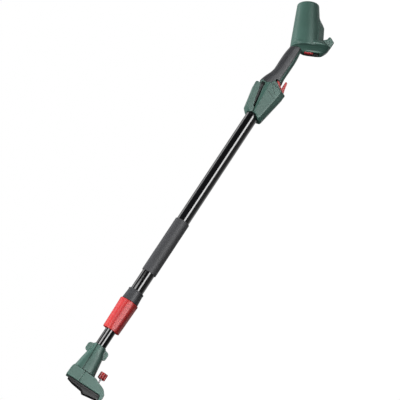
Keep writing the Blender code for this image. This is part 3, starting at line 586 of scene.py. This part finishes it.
# %% Solids
def solid(name, bm, frame_):
    bmesh.ops.remove_doubles(bm, verts=bm.verts, dist=0.0005)
    bmesh.ops.transform(bm, matrix=frame_, verts=bm.verts)
    bmesh.ops.recalc_face_normals(bm, faces=bm.faces)
    data = bpy.data.meshes.new(name)
    bm.to_mesh(data)
    bm.free()
    data.shade_smooth()
    data.set_sharp_from_angle(angle=math.radians(35))
    made = bpy.data.objects.new(name, data)
    bpy.context.scene.collection.objects.link(made)
    return made


def loft(name, rings, frame_=POLE):
    bm = bmesh.new()
    made = [[bm.verts.new(Vector(p)) for p in ring] for ring in rings]
    count = len(rings[0])
    for first, second in zip(made, made[1:]):
        for i in range(count):
            bm.faces.new((first[i], first[(i + 1) % count], second[(i + 1) % count], second[i]))
    bm.faces.new(made[0])
    bm.faces.new(made[-1])
    return solid(name, bm, frame_)


def turned(name, outline, frame_=POLE, along="X", centre=(0.0, 0.0), corner=0.35, sides=96):
    """Spins a closed outline of (place, radius) points. A corner radius rounds it, apart from the axis."""
    on_axis = any(r <= 0.0 for _, r in outline)
    soft = rounded(outline, corner, 4, closed=not on_axis) if corner else outline
    bm = bmesh.new()
    points = [bm.verts.new((x, 0.0, max(r, 0.0))) for x, r in soft]
    edges = [bm.edges.new(pair) for pair in zip(points, points[1:] + points[:1])
             if pair[0].co.z > 0.0 or pair[1].co.z > 0.0]
    bmesh.ops.spin(bm, geom=points + edges, cent=(0, 0, 0), axis=(1, 0, 0), angle=math.tau, steps=sides,
                   use_merge=True, use_duplicate=False)
    if along == "Y":
        bmesh.ops.rotate(bm, verts=bm.verts, cent=(0, 0, 0), matrix=Matrix.Rotation(math.pi / 2, 3, "Z"))
        bmesh.ops.translate(bm, verts=bm.verts, vec=(centre[0], 0.0, centre[1]))
    elif along == "Z":
        bmesh.ops.rotate(bm, verts=bm.verts, cent=(0, 0, 0), matrix=Matrix.Rotation(-math.pi / 2, 3, "Y"))
        bmesh.ops.translate(bm, verts=bm.verts, vec=(centre[0], centre[1], 0.0))
    else:
        bmesh.ops.translate(bm, verts=bm.verts, vec=(0.0, centre[0], centre[1]))
    return solid(name, bm, frame_)


def rod(name, start, end, radius, centre=(0.0, 0.0), along="Y", frame_=POLE, sides=48):
    return turned(name, [(start, 0.0), (start, radius), (end, radius), (end, 0.0)], frame_, along, centre, 0.0,
                  sides)


def prism(name, outline, half_width, frame_=POLE, middle=0.0, corner=1.0, edge=0.0, steps=3):
    """An outline of (x, z) points with a thickness along Y. edge rounds the rim of its two faces."""
    soft = rounded(outline, corner, 4) if corner else outline
    if not edge:
        return loft(name, [[(x, middle + side * half_width, z) for x, z in soft] for side in (-1, 1)], frame_)
    rows = [(half_width - edge * (1 - math.sin(a)), edge * (1 - math.cos(a)))
            for a in (math.pi / 2 * k / steps for k in range(steps + 1))]
    turning = sum(soft[i - 1][0] * soft[i][1] - soft[i][0] * soft[i - 1][1] for i in range(len(soft)))

    def drawn_in(inset):
        made = []
        for i, p in enumerate(soft):
            tangent = Vector(soft[(i + 1) % len(soft)]) - Vector(soft[i - 1])
            normal = Vector((tangent.y, -tangent.x)).normalized() if tangent.length else Vector((0, 0))
            made.append(Vector(p) + (-normal if turning > 0 else normal) * inset)
        return made

    levels = [(-y, inset) for y, inset in reversed(rows)] + rows
    return loft(name, [[(p.x, middle + y, p.y) for p in drawn_in(inset)] for y, inset in levels], frame_)


def block(name, low, high, frame_=POLE, corner=1.0, edge=0.0):
    outline = [(low[0], low[2]), (high[0], low[2]), (high[0], high[2]), (low[0], high[2])]
    return prism(name, outline, (high[1] - low[1]) / 2, frame_, (low[1] + high[1]) / 2, corner, edge)


# %% Joining, cutting and softening
def settle(obj):
    """Bakes the modifiers into the mesh."""
    depsgraph = bpy.context.evaluated_depsgraph_get()
    data = bpy.data.meshes.new_from_object(obj.evaluated_get(depsgraph))
    obj.modifiers.clear()
    obj.data = data
    return obj


def combine(obj, others, operation):
    for other in others:
        modifier = obj.modifiers.new(operation.lower(), "BOOLEAN")
        modifier.operation = operation
        modifier.solver = "MANIFOLD"
        modifier.object = other
    settle(obj)
    for other in others:
        bpy.data.objects.remove(other)
    return obj


def add(obj, *others):
    return combine(obj, others, "UNION")


def cut(obj, *others):
    return combine(obj, others, "DIFFERENCE")


def keep(obj, *others):
    return combine(obj, others, "INTERSECT")


def soften(obj, voxel=0.9, passes=3):
    """Melts sharp corners into the small radii of a real moulding: rebuild the skin from voxels, then smooth."""
    remesh = obj.modifiers.new("even_skin", "REMESH")
    remesh.mode = "VOXEL"
    remesh.voxel_size = voxel / 1000
    smooth = obj.modifiers.new("melt", "SMOOTH")
    smooth.factor = 0.5
    smooth.iterations = passes
    return settle(obj)


def twin(obj, name):
    made = obj.copy()
    made.data = obj.data.copy()
    made.name = name
    bpy.context.scene.collection.objects.link(made)
    return made


def stands_for(piece, *nodes, finish=None, angle=40):
    """Gives a new piece its finish, its body and its slot from the CAD nodes that it stands for."""
    piece.data.materials.clear()
    piece.data.materials.append(finish or FINISHES[slot_of[nodes[0]]])
    piece.data.shade_smooth()
    piece.data.set_sharp_from_angle(angle=math.radians(angle))
    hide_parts(*nodes)
    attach(piece, body_of[nodes[0]])
    print(f"{piece.name}: {len(piece.data.polygons)} faces, on {body_of[nodes[0]]}")
    return piece


# %% [markdown]
# ## The two tubes
#
# The thin front tube slides inside the thick rear one. Both are drawn aluminium with a small radius on the
# cut rim. They are hollow, because the front tube's end and the cable inside show when the lock opens.

# %% Tubes
outer = turned("outer_pole_tube", [(-300.0, 14.5), (-300.0, 16.0), (TUBE_REAR, 16.0), (TUBE_REAR, 14.5)])
stands_for(outer, "outer_tube")
inner = turned("inner_pole_tube", [(-446.0, 11.5), (-446.0, 13.0), (190.0, 13.0), (190.0, 11.5)])
stands_for(inner, "inner_tube")

# %% [markdown]
# ## The foam sleeve
#
# A length of foam tube is stretched over the pole as the front hand's grip. Foam has no crisp edges: its
# ends roll over, its diameter wanders a little along the length, and the skin is faintly lumpy. So its
# outline is drawn in many short steps, and then each point is pushed in or out by a smooth noise.

# %% Foam sleeve
from mathutils import noise as field

FOAM_FRONT, FOAM_REAR, FOAM_R = -213.0, -67.0, 18.2
skin = [(FOAM_FRONT + 0.1, 16.1), (FOAM_FRONT, 16.8)]
for step in range(7):
    lean = math.pi / 2 * step / 6
    skin.append((FOAM_FRONT + 1.5 - 1.5 * math.cos(lean), FOAM_R - 1.5 + 1.5 * math.sin(lean)))
for step in range(1, 60):
    skin.append((FOAM_FRONT + 1.5 + (FOAM_REAR - FOAM_FRONT - 3.0) * step / 60, FOAM_R))
for step in range(7):
    lean = math.pi / 2 * step / 6
    skin.append((FOAM_REAR - 1.5 + 1.5 * math.sin(lean), FOAM_R - 1.5 + 1.5 * math.cos(lean)))
skin += [(FOAM_REAR, 16.8), (FOAM_REAR - 0.1, 16.1)]
sleeve = turned("foam_sleeve", skin, corner=0.0, sides=72)
centre_line = POLE.translation
for vertex in sleeve.data.vertices:
    out_from_axis = Vector((0.0, vertex.co.y, vertex.co.z - centre_line.z))
    if out_from_axis.length > 0.0166:
        lump = field.noise(vertex.co * 55.0) * 0.00012 + field.noise(vertex.co * 260.0) * 0.00007
        vertex.co += out_from_axis.normalized() * lump
stands_for(sleeve, "foam_grip")

# %% [markdown]
# ## The twist lock
#
# A grey collar is fixed to the rear tube. A red sleeve turns in front of it, and a wedge ring inside squeezes
# a slotted collet on to the front tube. The collar has a narrow lip at its rear. The sleeve is not quite
# round: broad shallow flats run along it so that a gloved hand can turn it. So the sleeve is a loft whose
# radius swings a little with the angle.

# %% Collar
collar = turned("twist_lock_collar",
                [(-264.0, 16.3), (-264.0, 18.4), (-264.6, 19.3), (-267.2, 19.5), (-268.0, 18.7), (-269.0, 18.8),
                 (-292.0, 20.6), (-292.8, 20.0), (-292.8, 19.0), (-326.0, 19.0), (-326.0, 17.0), (-303.0, 17.0),
                 (-303.0, 14.9), (-300.3, 14.9), (-300.3, 16.3)], corner=0.5)
stands_for(collar, "lock_collar")

# %% Red sleeve
SLEEVE = [(-371.0, 19.6), (-370.6, 20.5), (-369.6, 21.0), (-360.0, 21.3), (-345.0, 21.7), (-330.0, 22.1),
          (-315.0, 22.5),
          (-302.0, 22.9), (-295.2, 23.2), (-294.0, 22.9), (-293.6, 22.2)]
FLATS = 6


def sleeve_ring(x, r, depth):
    ring = []
    for i in range(144):
        lean = math.tau * i / 144
        swing = 0.5 - 0.5 * math.cos(FLATS * (lean + 0.42))
        ring.append((x, (r - depth * swing ** 1.5) * math.cos(lean),
                     (r - depth * swing ** 1.5) * math.sin(lean)))
    return ring


sleeve_rings = []
for i, (x, r) in enumerate(eased(SLEEVE, 3)):
    fade_in = min(1.0, max(0.0, (x + 370.0) / 8.0), max(0.0, (-294.0 - x) / 6.0))
    sleeve_rings.append(sleeve_ring(x, r, 0.9 * fade_in))
red_sleeve = loft("twist_lock_sleeve", sleeve_rings)
cut(red_sleeve, rod("sleeve_mouth", -327.0, -290.0, 19.3, along="X", sides=96),
    rod("sleeve_wedge_space", -368.0, -326.0, 18.3, along="X", sides=96),
    rod("sleeve_front_bore", -380.0, -360.0, 13.5, along="X", sides=96))
stands_for(red_sleeve, "lock_sleeve")

# %% [markdown]
# ## The handle's outlines
#
# The handle is one pair of halves that hold three shapes together: the trigger housing, the grip and the
# battery head. Each shape is an outline or a row of sections. They are given here once, in millimetres along
# the pole or along the head, and the cells below turn them into solids.

# %% Outlines of the handle
HOUSING = [(256, 6.5), (243, -15), (244.5, -24.6), (249, -26.8), (327, -39.4), (330, -37.5), (333.5, -25),
           (337, 11.5), (333, 16.5), (318, 15.5)]
HOUSING_FACE = [(252, 4.5), (242.5, -11.5), (243.8, -13.5), (247, -15.5), (322, -25.5), (327.3, -24.5),
                (332.3, -23.4), (336.5, 9), (333, 10), (318, 8.7)]
NECK = [(250.5, -20), (332, -31), (334, 30), (262, 20.5), (250.5, 14.5)]
CHEEK = [(326, -27), (332.5, -26), (336.8, -21.2), (347.8, -4.4), (349, 1), (342, 6), (326, 6)]
LEVER = [(246.7, 15.4), (249, 18.8), (259, 28.3), (317, 39.4), (320.5, 38.2), (322, 35), (321.5, 27.6),
         (312, 24.6),
         (279, 17), (264, 12.0), (256, 7.2), (251, 6.4), (247.2, 10)]
LEVER_HOLLOW = [(249, -5), (249, 15), (262, 24.9), (345, 40.2), (345, -5)]
LEVER_PIVOT = (256.5, 10.2)
TRIGGER = [(324.8, -29), (325.6, -32.2), (328.5, -33.6), (334, -33), (343, -30.6), (360, -27.4), (362.2, -24.8),
           (360.4, -21.4), (343.5, -23.6), (341.6, -21.4), (353.4, -8), (352.6, -4.6), (348.6, -4.2),
           (337, -21),
           (327, -25.4)]
TRIGGER_POCKET = [(323.5, -60), (323.5, -22), (326, -20), (340, 0), (356, 0), (354.8, -8.4), (344.8, -20),
                  (344.8, -60)]
TRIGGER_PIVOT = (328.5, -29.5)
GRIP = [(329, 15.0, -19, 33.5), (342, 15.2, -19, 31), (354, 15.6, -18.0, 27), (367, 16.0, -16.4, 22),
        (381, 16.6, -16.2, 19.2), (404, 17.0, -16.6, 19.4), (424, 17.0, -16.4, 19.2), (441, 16.4, -14.8, 17.8),
        (456, 16.0, -13, 16), (474, 16.0, -13, 16)]
FOOT = [(-30, -8, 44, 15), (-28.8, -10.5, 46, 16), (-26, -14, 49.5, 17.2), (-22.5, -19, 53.4, 21.4),
        (-19.5, -25, 55.8, 26.5), (-16.5, -33, 57.5, 33), (-13.5, -36, 57.5, 36.8), (-8, -35.5, 51, 36),
        (-2, -32, 42, 31)]
TOE = [(38, -12), (38, 3), (50, 7.5), (53, 13.5), (57.5, 13.5), (67.0, 0.5), (58.5, -16), (52, -16.5)]
SHELL_SCREWS = [(POLE, 262.0, -22.5), (POLE, 312.0, -29.5), (POLE, 318.0, 17.5), (POLE, 402.0, -6.0),
                (HEAD, -12.0, 80.0), (HEAD, -24.0, 8.0), (HEAD, 34.0, 8.0)]

# The gap between the lever and the housing, seen from the side.
SLOT = [(262, 7.0), (264, 11.0), (279, 16), (312, 23.4), (322, 26.5), (329, 27), (331, 17.8), (317, 17),
        (268, 8.2)]

# %% [markdown]
# The grip is a loft through rounded sections, smoothed along its length. Its hard core is the same loft drawn
# in by the thickness of the soft cover. On each flank the cover sinks into a long shallow valley, which
# parts the palm ridge from the finger pad.

# %% Grip sections
VALLEY = math.radians(152.0)


def grip_rings(inset=0.0, valley=0.0):
    rings = []
    for x, w, low, high in eased(GRIP, 5):
        ring = []
        for i, (y, z) in enumerate(oval(w - inset, low + inset, high - inset, 2.7, 120)):
            lean = math.tau * i / 120
            away = min(abs(lean - VALLEY), abs(lean - (math.pi - VALLEY)))
            dent = valley * math.exp(-(away / 0.16) ** 2) * min(1.0, max(0.0, (x - 345) / 22),
                                                                max(0.0, (462 - x) / 14))
            middle = (low + high) / 2
            reach = math.hypot(y, z - middle)
            ring.append((x, y * (1 - dent / reach), middle + (z - middle) * (1 - dent / reach)))
        rings.append(ring)
    return rings


# %% [markdown]
# The battery head is a tapered barrel with a rounded top. A flange runs up its front, with a thin lip on each
# side and a slanting face between lip and edge. The foot narrows below the barrel like a keel, and the toe
# is a short bumper at its front.

# %% Head shapes
def barrel(name):
    outline = [(-18.0, 0.0), (-18.0, 38.5), (0.0, 36.9), (93.0, 27.6)]
    outline += [(93.0 + 6.0 * math.sin(math.radians(a)), 21.6 + 6.0 * math.cos(math.radians(a)))
                for a in (15, 30, 45, 60, 75, 90)] + [(99.0, 0.0)]
    return turned(name, outline, HEAD, "Z", corner=0.0, sides=120)


def foot(name, inset=0.0):
    rings = []
    for level, rear, front, half in eased(FOOT, 4):
        middle, reach = (rear + front) / 2, (front - rear) / 2 - inset
        rings.append([(middle + x, y, level) for x, y in oval(reach, inset - half, half - inset, 3.2, 96)])
    return loft(name, rings, HEAD)


def flange(name):
    """Sections through the flange: the lip's place and half width, and the edge, at several heights."""
    rings = []
    for h, m, lip, edge in ((-13, 22.0, 32.6, 43), (-8, 22.3, 31.8, 43), (20, 24.5, 26.8, 43),
                            (39, 25.9, 22.9, 43), (47.5, 26.4, 21.0, 39.2), (56, 26.2, 18.7, 34.2),
                            (62, 25.0, 17.9, 30.8), (66, 23, 18.4, 27)):
        half = [(m - 12.0, lip - 6.0), (m - 1.6, lip - 1.7), (m - 0.4, lip - 0.1), (m + 0.7, lip),
                (m + 1.7, lip - 1.4),
                (edge - 2.0, 9.0), (edge, 6.0)]
        rings.append([(x, -y, h) for x, y in half] + [(x, y, h) for x, y in reversed(half)])
    return loft(name, rings, HEAD)


# %% [markdown]
# ## The handle halves
#
# All of the shapes are joined into one body, and the voxel rebuild melts the joints into small fillets, as
# they are in a moulding tool. The crisp features come after that: the trigger's pocket, the battery bay, the
# screw sinks on the far side, the grooves on the housing, and last the joint along the middle plane.

# %% One body
housing_rings = [[(x, y, z) for x, z in outline] for y, outline in
                 ((-25.0, HOUSING_FACE), (-18.0, HOUSING), (18.0, HOUSING), (25.0, HOUSING_FACE))]
body = loft("handle_body", housing_rings)
finger_side = keep(loft("finger_side", grip_rings()),
                   block("finger_space", (326, -20, -40), (478, 20, -8.5), corner=0.0))
add(body, prism("neck", NECK, 18.6), loft("grip_core", grip_rings(2.2)), finger_side, barrel("barrel"),
    foot("foot"), flange("flange"), prism("toe", TOE, 21.0, HEAD, corner=2.0, edge=2.5),
    *[prism("cheek", CHEEK, 1.15, middle=side * 17.45, corner=0.5) for side in (-1, 1)],
    rod("tube_socket", 254.0, 299.0, 18.4, along="X", sides=64))
soften(body, 0.9, 3)
print("handle body:", len(body.data.polygons), "faces")


# %% Pockets and openings
def bored(matrix, x, z, start, end, radius):
    return rod("bore", start, end, radius, (x, z), "Y", matrix, 32)


cut(body, rod("tube_seat", 200.0, 296.3, 16.3, along="X", sides=96),
    prism("trigger_pocket", TRIGGER_POCKET, 16.3, corner=0.0),
    block("switch_space", (298, -10.5, -22), (340, 10.5, -1), corner=0.0),
    block("battery_bay", (-4, -12.4, -40), (36, 12.4, -20), HEAD, corner=1.0),
    rod("cable_way", 280.0, 305.0, 12.0, along="X"),
    *[prism("lever_slot", SLOT, 5.5, middle=side * 14.5, corner=1.0) for side in (-1, 1)])
for matrix, x, z in SHELL_SCREWS:
    cut(body, bored(matrix, x, z, 6.0, 60.0, 3.4), bored(matrix, x, z, -9.0, 10.0, 1.9))
print("handle after cuts:", len(body.data.polygons), "faces")


# %% [markdown]
# Two slanting grooves decorate the rear of each housing face. Each groove is a thin bar sunk into the face.

# %% Grooves and the two halves
def groove(start, end, width, depth, face=25.0):
    (x0, z0), (x1, z1) = start, end
    along_ = Vector((x1 - x0, z1 - z0)).normalized()
    across = Vector((-along_.y, along_.x)) * width / 2
    outline = [(x0 + across.x, z0 + across.y), (x0 - across.x, z0 - across.y),
               (x1 - across.x, z1 - across.y), (x1 + across.x, z1 + across.y)]
    return [prism("groove", outline, depth, middle=side * face, corner=0.0) for side in (-1, 1)]


for start, end in (((332.9, 2.6), (314.2, -16.2)), ((314.0, 4.3), (305.3, -20.6))):
    cut(body, *groove(start, end, 1.3, 0.8))
for name, node, low_y, high_y in (("handle_half_near", "handle_shell_left", -60.0, -0.15),
                                  ("handle_half_far", "handle_shell_right", 0.15, 60.0)):
    half = keep(twin(body, name), block("side", (200, low_y, -120), (660, high_y, 120), corner=0.0))
    stands_for(half, node)
bpy.data.objects.remove(body)

# %% [markdown]
# Between the lever and the housing runs a deep slot. A thin black plate near its middle is painted shade: it
# keeps the slot black where the green neck and the pole's tube would otherwise show through.

# %% Painted shade plates in the lever slots
for side, name in ((-1, "lever_slot_shade_plate_near"), (1, "lever_slot_shade_plate_far")):
    # Painted shade: a black sheet inside each slot stands in for the dark depth of the slot.
    shade_plate = prism(name, SLOT, 0.35, middle=side * 9.4, corner=1.0)
    shade_plate.data.materials.clear()
    shade_plate.data.materials.append(BLACK)
    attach(shade_plate, "handle")

# %% [markdown]
# ## The soft grip cover
#
# The cover is moulded over the core, so its inside is the core's surface and its outside is the full grip.
# It stops in a clean line above the fingers, at the trigger and at the battery head. The cut edges are then
# melted a little, because elastomer never keeps a knife edge.

# %% Grip cover
cover = loft("soft_grip_cover", grip_rings(0.0, 1.1))
cut(cover, loft("core_space", grip_rings(1.9)), block("below", (300, -40, -60), (500, 40, -8.2), corner=0.0),
    block("front", (300, -40, -60), (334.3, 40, 60), corner=0.0))
head_gap = turned("head_gap", [(-20.0, 0.0), (-20.0, 38.9), (0.0, 37.3), (99.0, 27.9), (99.0, 0.0)], HEAD, "Z",
                  corner=0.0, sides=120)
cut(cover, head_gap, foot("foot_gap", -0.3), prism("pocket_gap", TRIGGER_POCKET, 16.3, corner=0.0))
soften(cover, 0.55, 2)
stands_for(cover, "grip_cover", angle=60)

# %% [markdown]
# ## Trigger, lock-off lever and their pins
#
# The trigger is a red V that turns on a pin. The lock-off lever is a saddle over the housing's top: solid
# outside, hollow underneath to clear the neck and the tube. Both are flat outlines given a thickness, and the
# voxel rebuild then rounds their rims, also where the outline turns inwards.

# %% Trigger
trigger = prism("red_trigger", TRIGGER, 15.5, corner=1.0)
soften(trigger, 0.45, 3)
cut(trigger, rod("trigger_bore", -30, 30, 1.8, TRIGGER_PIVOT))
stands_for(trigger, "trigger")
stands_for(rod("trigger_pivot_pin", -20.1, 20.1, 1.5, TRIGGER_PIVOT), "trigger_pin")

# %% Lock-off lever
lever = prism("lock_off_saddle", LEVER, 22.0, corner=1.5)
soften(lever, 0.6, 4)
cut(lever, prism("lever_hollow", LEVER_HOLLOW, 19.1, corner=0.0),
    rod("tube_gap", 200, 300, 17.4, along="X", sides=96),
    rod("lever_bore", -21.7, 21.7, 1.8, LEVER_PIVOT))
stands_for(lever, "lock_off_lever")
for side, name, node in ((-1, "lever_stub_near", "lever_pin_left"), (1, "lever_stub_far", "lever_pin_right")):
    stands_for(rod(name, *sorted((side * 15.1, side * 21.6)), 1.5, LEVER_PIVOT), node)

# %% [markdown]
# ## Battery latch and contacts
#
# Under the foot a red button releases the battery, and a black block beside it carries two brass contact
# blades. The button has thumb ridges across its underside.

# %% Latch and terminal block
latch = block("red_battery_button", (-3.4, -11.8, -32.0), (18.0, -1.0, -24.5), HEAD, corner=1.6, edge=1.6)
cut(latch, rod("spring_seat", -28.0, 0.0, 3.6, (8.0, -6.4), "Z", HEAD),
    *[block("ridge_gap", (m, -30.0, -34.0), (m + 1.2, 4.0, -31.3), HEAD, corner=0.0)
      for m in (1.0, 4.0, 7.0, 10.0, 13.0)])
stands_for(latch, "battery_latch")
terminals = block("terminal_carrier", (8.0, 0.2, -30.8), (33.0, 11.8, -20.3), HEAD, corner=1.2, edge=1.0)
cut(terminals, *[block("blade_slot", (20.0, y - 0.9, -27.4), (60.0, y + 0.9, -21.4), HEAD, corner=0.0)
                 for y in (3.0, 9.0)])
stands_for(terminals, "terminal_block")

# %% [markdown]
# ## The tool adapter
#
# The adapter widens from the round tube to a broad flat foot. Its funnel is a loft whose section changes from
# nearly round to nearly square. It is two mouldings with a dark groove between them, and a tongue inside stops
# light from shining through it. A screw with its head on the far side clamps each pair of ears.

# %% Adapter shapes
FUNNEL = [(-413.0, 15.2, -15.2, 15.2), (-428, 15.8, -17, 16), (-437, 18, -21, 18.7), (-455, 25, -24, 22),
          (-470, 31, -26, 24.2), (-481.0, 35, -27.8, 26.2)]
FOOT_UPPER = [(-481.0, 5.3), (-481.0, 26.0), (-484, 27.6), (-489, 28.8), (-508.0, 29.5), (-508.0, -3.2),
              (-481.0, -3.2)]
ADAPTER_TOE = [(-481.4, -3.9), (-481.4, -28.5), (-483, -35), (-486.6, -41), (-489, -50), (-492.5, -58),
               (-497, -63),
               (-504, -67.8), (-513, -68.4), (-518.3, -64), (-518, -61), (-508.0, -60), (-508.0, -3.9)]
PLUG = [(-508.4, 22.5), (-513, 21.5), (-516.7, 8), (-520, -19), (-525, -24), (-519.6, -59.4), (-508.4, -59.4)]
EAR = [(-415.5, 13), (-418, 23.5), (-422, 27), (-434, 27), (-437, 24), (-440, 14)]
KNOB_Z = -42.0


def funnel(name):
    return loft(name, [[(x, y, z) for y, z in oval(w, low, high, 2.2 + 1.4 * (-413.0 - x) / 68.0, 120)]
                       for x, w, low, high in eased(FUNNEL, 5)])


def split_side(above):
    """Everything above (or below) the joint; the joint ends in a step round the cover's front."""
    gap, far = (1.1, 80.0) if above else (-1.1, -80.0)
    line = [(-400, 8.0 + gap), (-480.9, 4.9 + gap)]
    if above:
        line += [(-480.9, -3.2), (-520, -3.2), (-520, far)]
    else:
        line += [(-480.9, far)]
    return prism("split", line + [(-400, far)], 60.0, corner=0.0)


def tube_space():
    return rod("tube_space", -446.3, -380.0, 13.3, along="X", sides=96)


# %% Adapter mouldings
upper = funnel("adapter_main_moulding")
add(upper, prism("foot_upper", FOOT_UPPER, 37.5, corner=1.0), prism("ear", EAR, 8.0, corner=2.0))
soften(upper, 0.8, 3)
keep(upper, split_side(True))
cut(upper, block("foot_floor", (-520, -60, -60), (-480, 60, -3.2), corner=0.0), tube_space(),
    rod("ear_bore", -6.4, 20, 1.9, (-427.5, 21.5)), rod("ear_sink", 5.0, 30.0, 3.3, (-427.5, 21.5)))
tongue = keep(loft("tongue", [[(x, y, z) for y, z in
                               oval(w - 2.4, low, high, 2.2 + 1.4 * (-413.0 - x) / 68.0, 96)]
                              for x, w, low, high in eased(FUNNEL, 3)]),
              prism("tongue_height", [(-414, 5.0), (-480.6, 2.0), (-480.6, 9.0), (-414, 12.0)], 60.0,
                    corner=0.0))
cut(tongue, tube_space())
add(upper, tongue)
stands_for(upper, "adapter_body")
lower = funnel("adapter_lower_cover")
add(lower, prism("ear", [(x, -z) for x, z in EAR], 8.0, corner=2.0))
soften(lower, 0.8, 3)
keep(lower, split_side(False))
cut(lower, block("cover_end", (-490, -60, -60), (-480.1, 60, 60), corner=0.0), tube_space(),
    rod("ear_bore", -6.4, 20, 1.9, (-427.5, -21.5)), rod("ear_sink", 5.0, 30.0, 3.3, (-427.5, -21.5)),
    *[rod("cover_sink", -60, -16.0, 3.3, (-464.0, y), "Z") for y in (-18.5, 18.5)],
    loft("tongue_gap", [[(x, y, z) for y, z in oval(w - 2.1, 1.6, 40.0, 8.0, 48)]
                        for x, w, low, high in FUNNEL]))
stands_for(lower, "adapter_cover")
toe = prism("adapter_hook_toe", ADAPTER_TOE, 37.5, corner=2.0)
soften(toe, 0.7, 4)
add(toe, block("toe_tongue", (-507.0, -36.3, -8.0), (-482.4, 36.3, -3.3), corner=0.0))
cut(toe, rod("stem_bore", -560, -400, 2.3, (0, KNOB_Z), "X"),
    rod("insert_bore", -498.3, -400, 4.5, (0, KNOB_Z), "X"))
stands_for(toe, "adapter_toe")

# %% Slide plug
plug = prism("black_slide_plug", PLUG, 31.0, corner=1.4)
soften(plug, 0.6, 3)
cut(plug, block("rail_gap", (-516.5, -60, -80), (-512.5, -26.0, 80), corner=0.0),
    block("rail_gap", (-516.5, 26.0, -80), (-512.5, 60, 80), corner=0.0),
    rod("stem_bore", -519.0, -400, 2.3, (0, KNOB_Z), "X"),
    *[block("blade_slot", (-530, y - 0.9, -11.4), (-510.8, y + 0.9, 0.0), corner=0.0) for y in (-9.0, 9.0)],
    *[rod("screw_sink", -540, -513.0, 3.3, (y, -14.0), "X") for y in (-15.0, 15.0)])
stands_for(plug, "slide_plug")

# %% [markdown]
# ## The thumbscrew
#
# A red knob with six lobes turns a thin steel screw that locks the tool. The thread is cut as a row of
# fine grooves, which at this size look the same as a helix and stay one clean turned body.

# %% Knob, screw and washer
knob_rings = []
for x, shrink in ((-475.0, 1.6), (-474.6, 0.7), (-473.8, 0.15), (-472.8, 0.0), (-461.2, 0.0), (-460.2, 0.15),
                  (-459.4, 0.7), (-459.0, 1.6)):
    ring = []
    for i in range(160):
        lean = math.tau * i / 160
        r = 10.0 - shrink - 2.6 * (0.5 - 0.5 * math.cos(6 * lean)) ** 2
        ring.append((x, r * math.cos(lean), KNOB_Z + r * math.sin(lean)))
    knob_rings.append(ring)
knob = loft("red_lobed_knob", knob_rings)
dish = turned("dish", [(-460.2, 0.0), (-460.2, 4.6), (-457.0, 6.0), (-457.0, 0.0)], centre=(0, KNOB_Z),
              corner=0.0)
cut(knob, rod("knob_bore", -480.0, -463.0, 2.2, (0, KNOB_Z), "X"), dish)
stands_for(knob, "thumb_knob")
thread = [(-518.0, 0.0), (-518.0, 1.4)]
for step in range(48):
    thread += [(-517.4 + step * 0.8, 1.9), (-517.0 + step * 0.8, 1.55)]
thread += [(-478.5, 1.9), (-463.4, 1.9), (-463.4, 0.0)]
stands_for(turned("steel_thumb_screw", thread, centre=(0, KNOB_Z), corner=0.0, sides=48), "thumb_screw")
stands_for(turned("steel_captive_washer", [(-476.5, 2.2), (-476.5, 4.6), (-475.3, 4.6), (-475.3, 2.2)],
                  centre=(0, KNOB_Z), corner=0.25), "captive_washer")

# %% [markdown]
# ## Screws
#
# Thirteen pan-head screws hold the mouldings together. One helper turns the domed head with its shank, and
# cuts the star-shaped recess with three crossed bars.

# %% Screws
def screw(name, matrix, place, along, seat, toward, shank_end):
    """seat is where the head's underside is, toward is +1 or -1 along the axis, place is the axis itself."""
    head, shank, tall = 3.0, 1.6, 2.0
    outline = [(shank_end, 0.0), (shank_end, shank), (seat, shank), (seat, head), (seat + toward * 0.8, head),
               (seat + toward * 1.5, head - 0.7), (seat + toward * tall, head - 1.9),
               (seat + toward * tall, 0.0)]
    made = turned(name, outline, matrix, along, place, corner=0.0, sides=48)
    bars = []
    for k in range(3):
        lean = math.radians(60 * k + 10)
        tip, wide = (Vector((math.cos(lean), math.sin(lean))) * 1.5,
                     Vector((-math.sin(lean), math.cos(lean))) * 0.4)
        corners = [tip + wide, -tip + wide, -tip - wide, tip - wide]
        rings = []
        for depth in (seat + toward * 0.9, seat + toward * 3.0):
            spots = [(place[0] + c.x, place[1] + c.y) for c in corners]
            rings.append([{"X": (depth, a, b), "Y": (a, depth, b), "Z": (a, b, depth)}[along]
                          for a, b in spots])
        bars.append(loft("bar", rings, matrix))
    cut(made, *bars)
    return made


for i, (matrix, x, z) in enumerate(SHELL_SCREWS, 1):
    stands_for(screw(f"housing_screw_{i}", matrix, (x, z), "Y", 6.3, 1, -8.0), f"shell_screw_{i}", angle=30)
for sign, end in ((1, "top"), (-1, "bottom")):
    stands_for(screw(f"ear_clamp_screw_{end}", POLE, (-427.5, sign * 21.5), "Y", 5.3, 1, -6.1),
               f"ear_screw_{end}",
               angle=30)
for side, end in ((-1, "left"), (1, "right")):
    stands_for(screw(f"adapter_cover_screw_{end}", POLE, (-464.0, side * 18.5), "Z", -16.3, -1, 13.0),
               f"cover_screw_{end}", angle=30)
    stands_for(screw(f"plug_fixing_screw_{end}", POLE, (side * 15.0, -14.0), "X", -513.3, -1, -498.0),
               f"plug_screw_{end}", angle=30)

# %% [markdown]
# ## Sizes
# The bounding boxes of the CAD model and of the visual model are printed here, one under the other.

# %% Print both sizes
visual_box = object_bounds()
for name, box_ in (("CAD", cad_box), ("visual", visual_box)):
    print(name, " x ".join(f"{(b - a) * 1000:.1f}" for a, b in zip(*box_)), "mm")
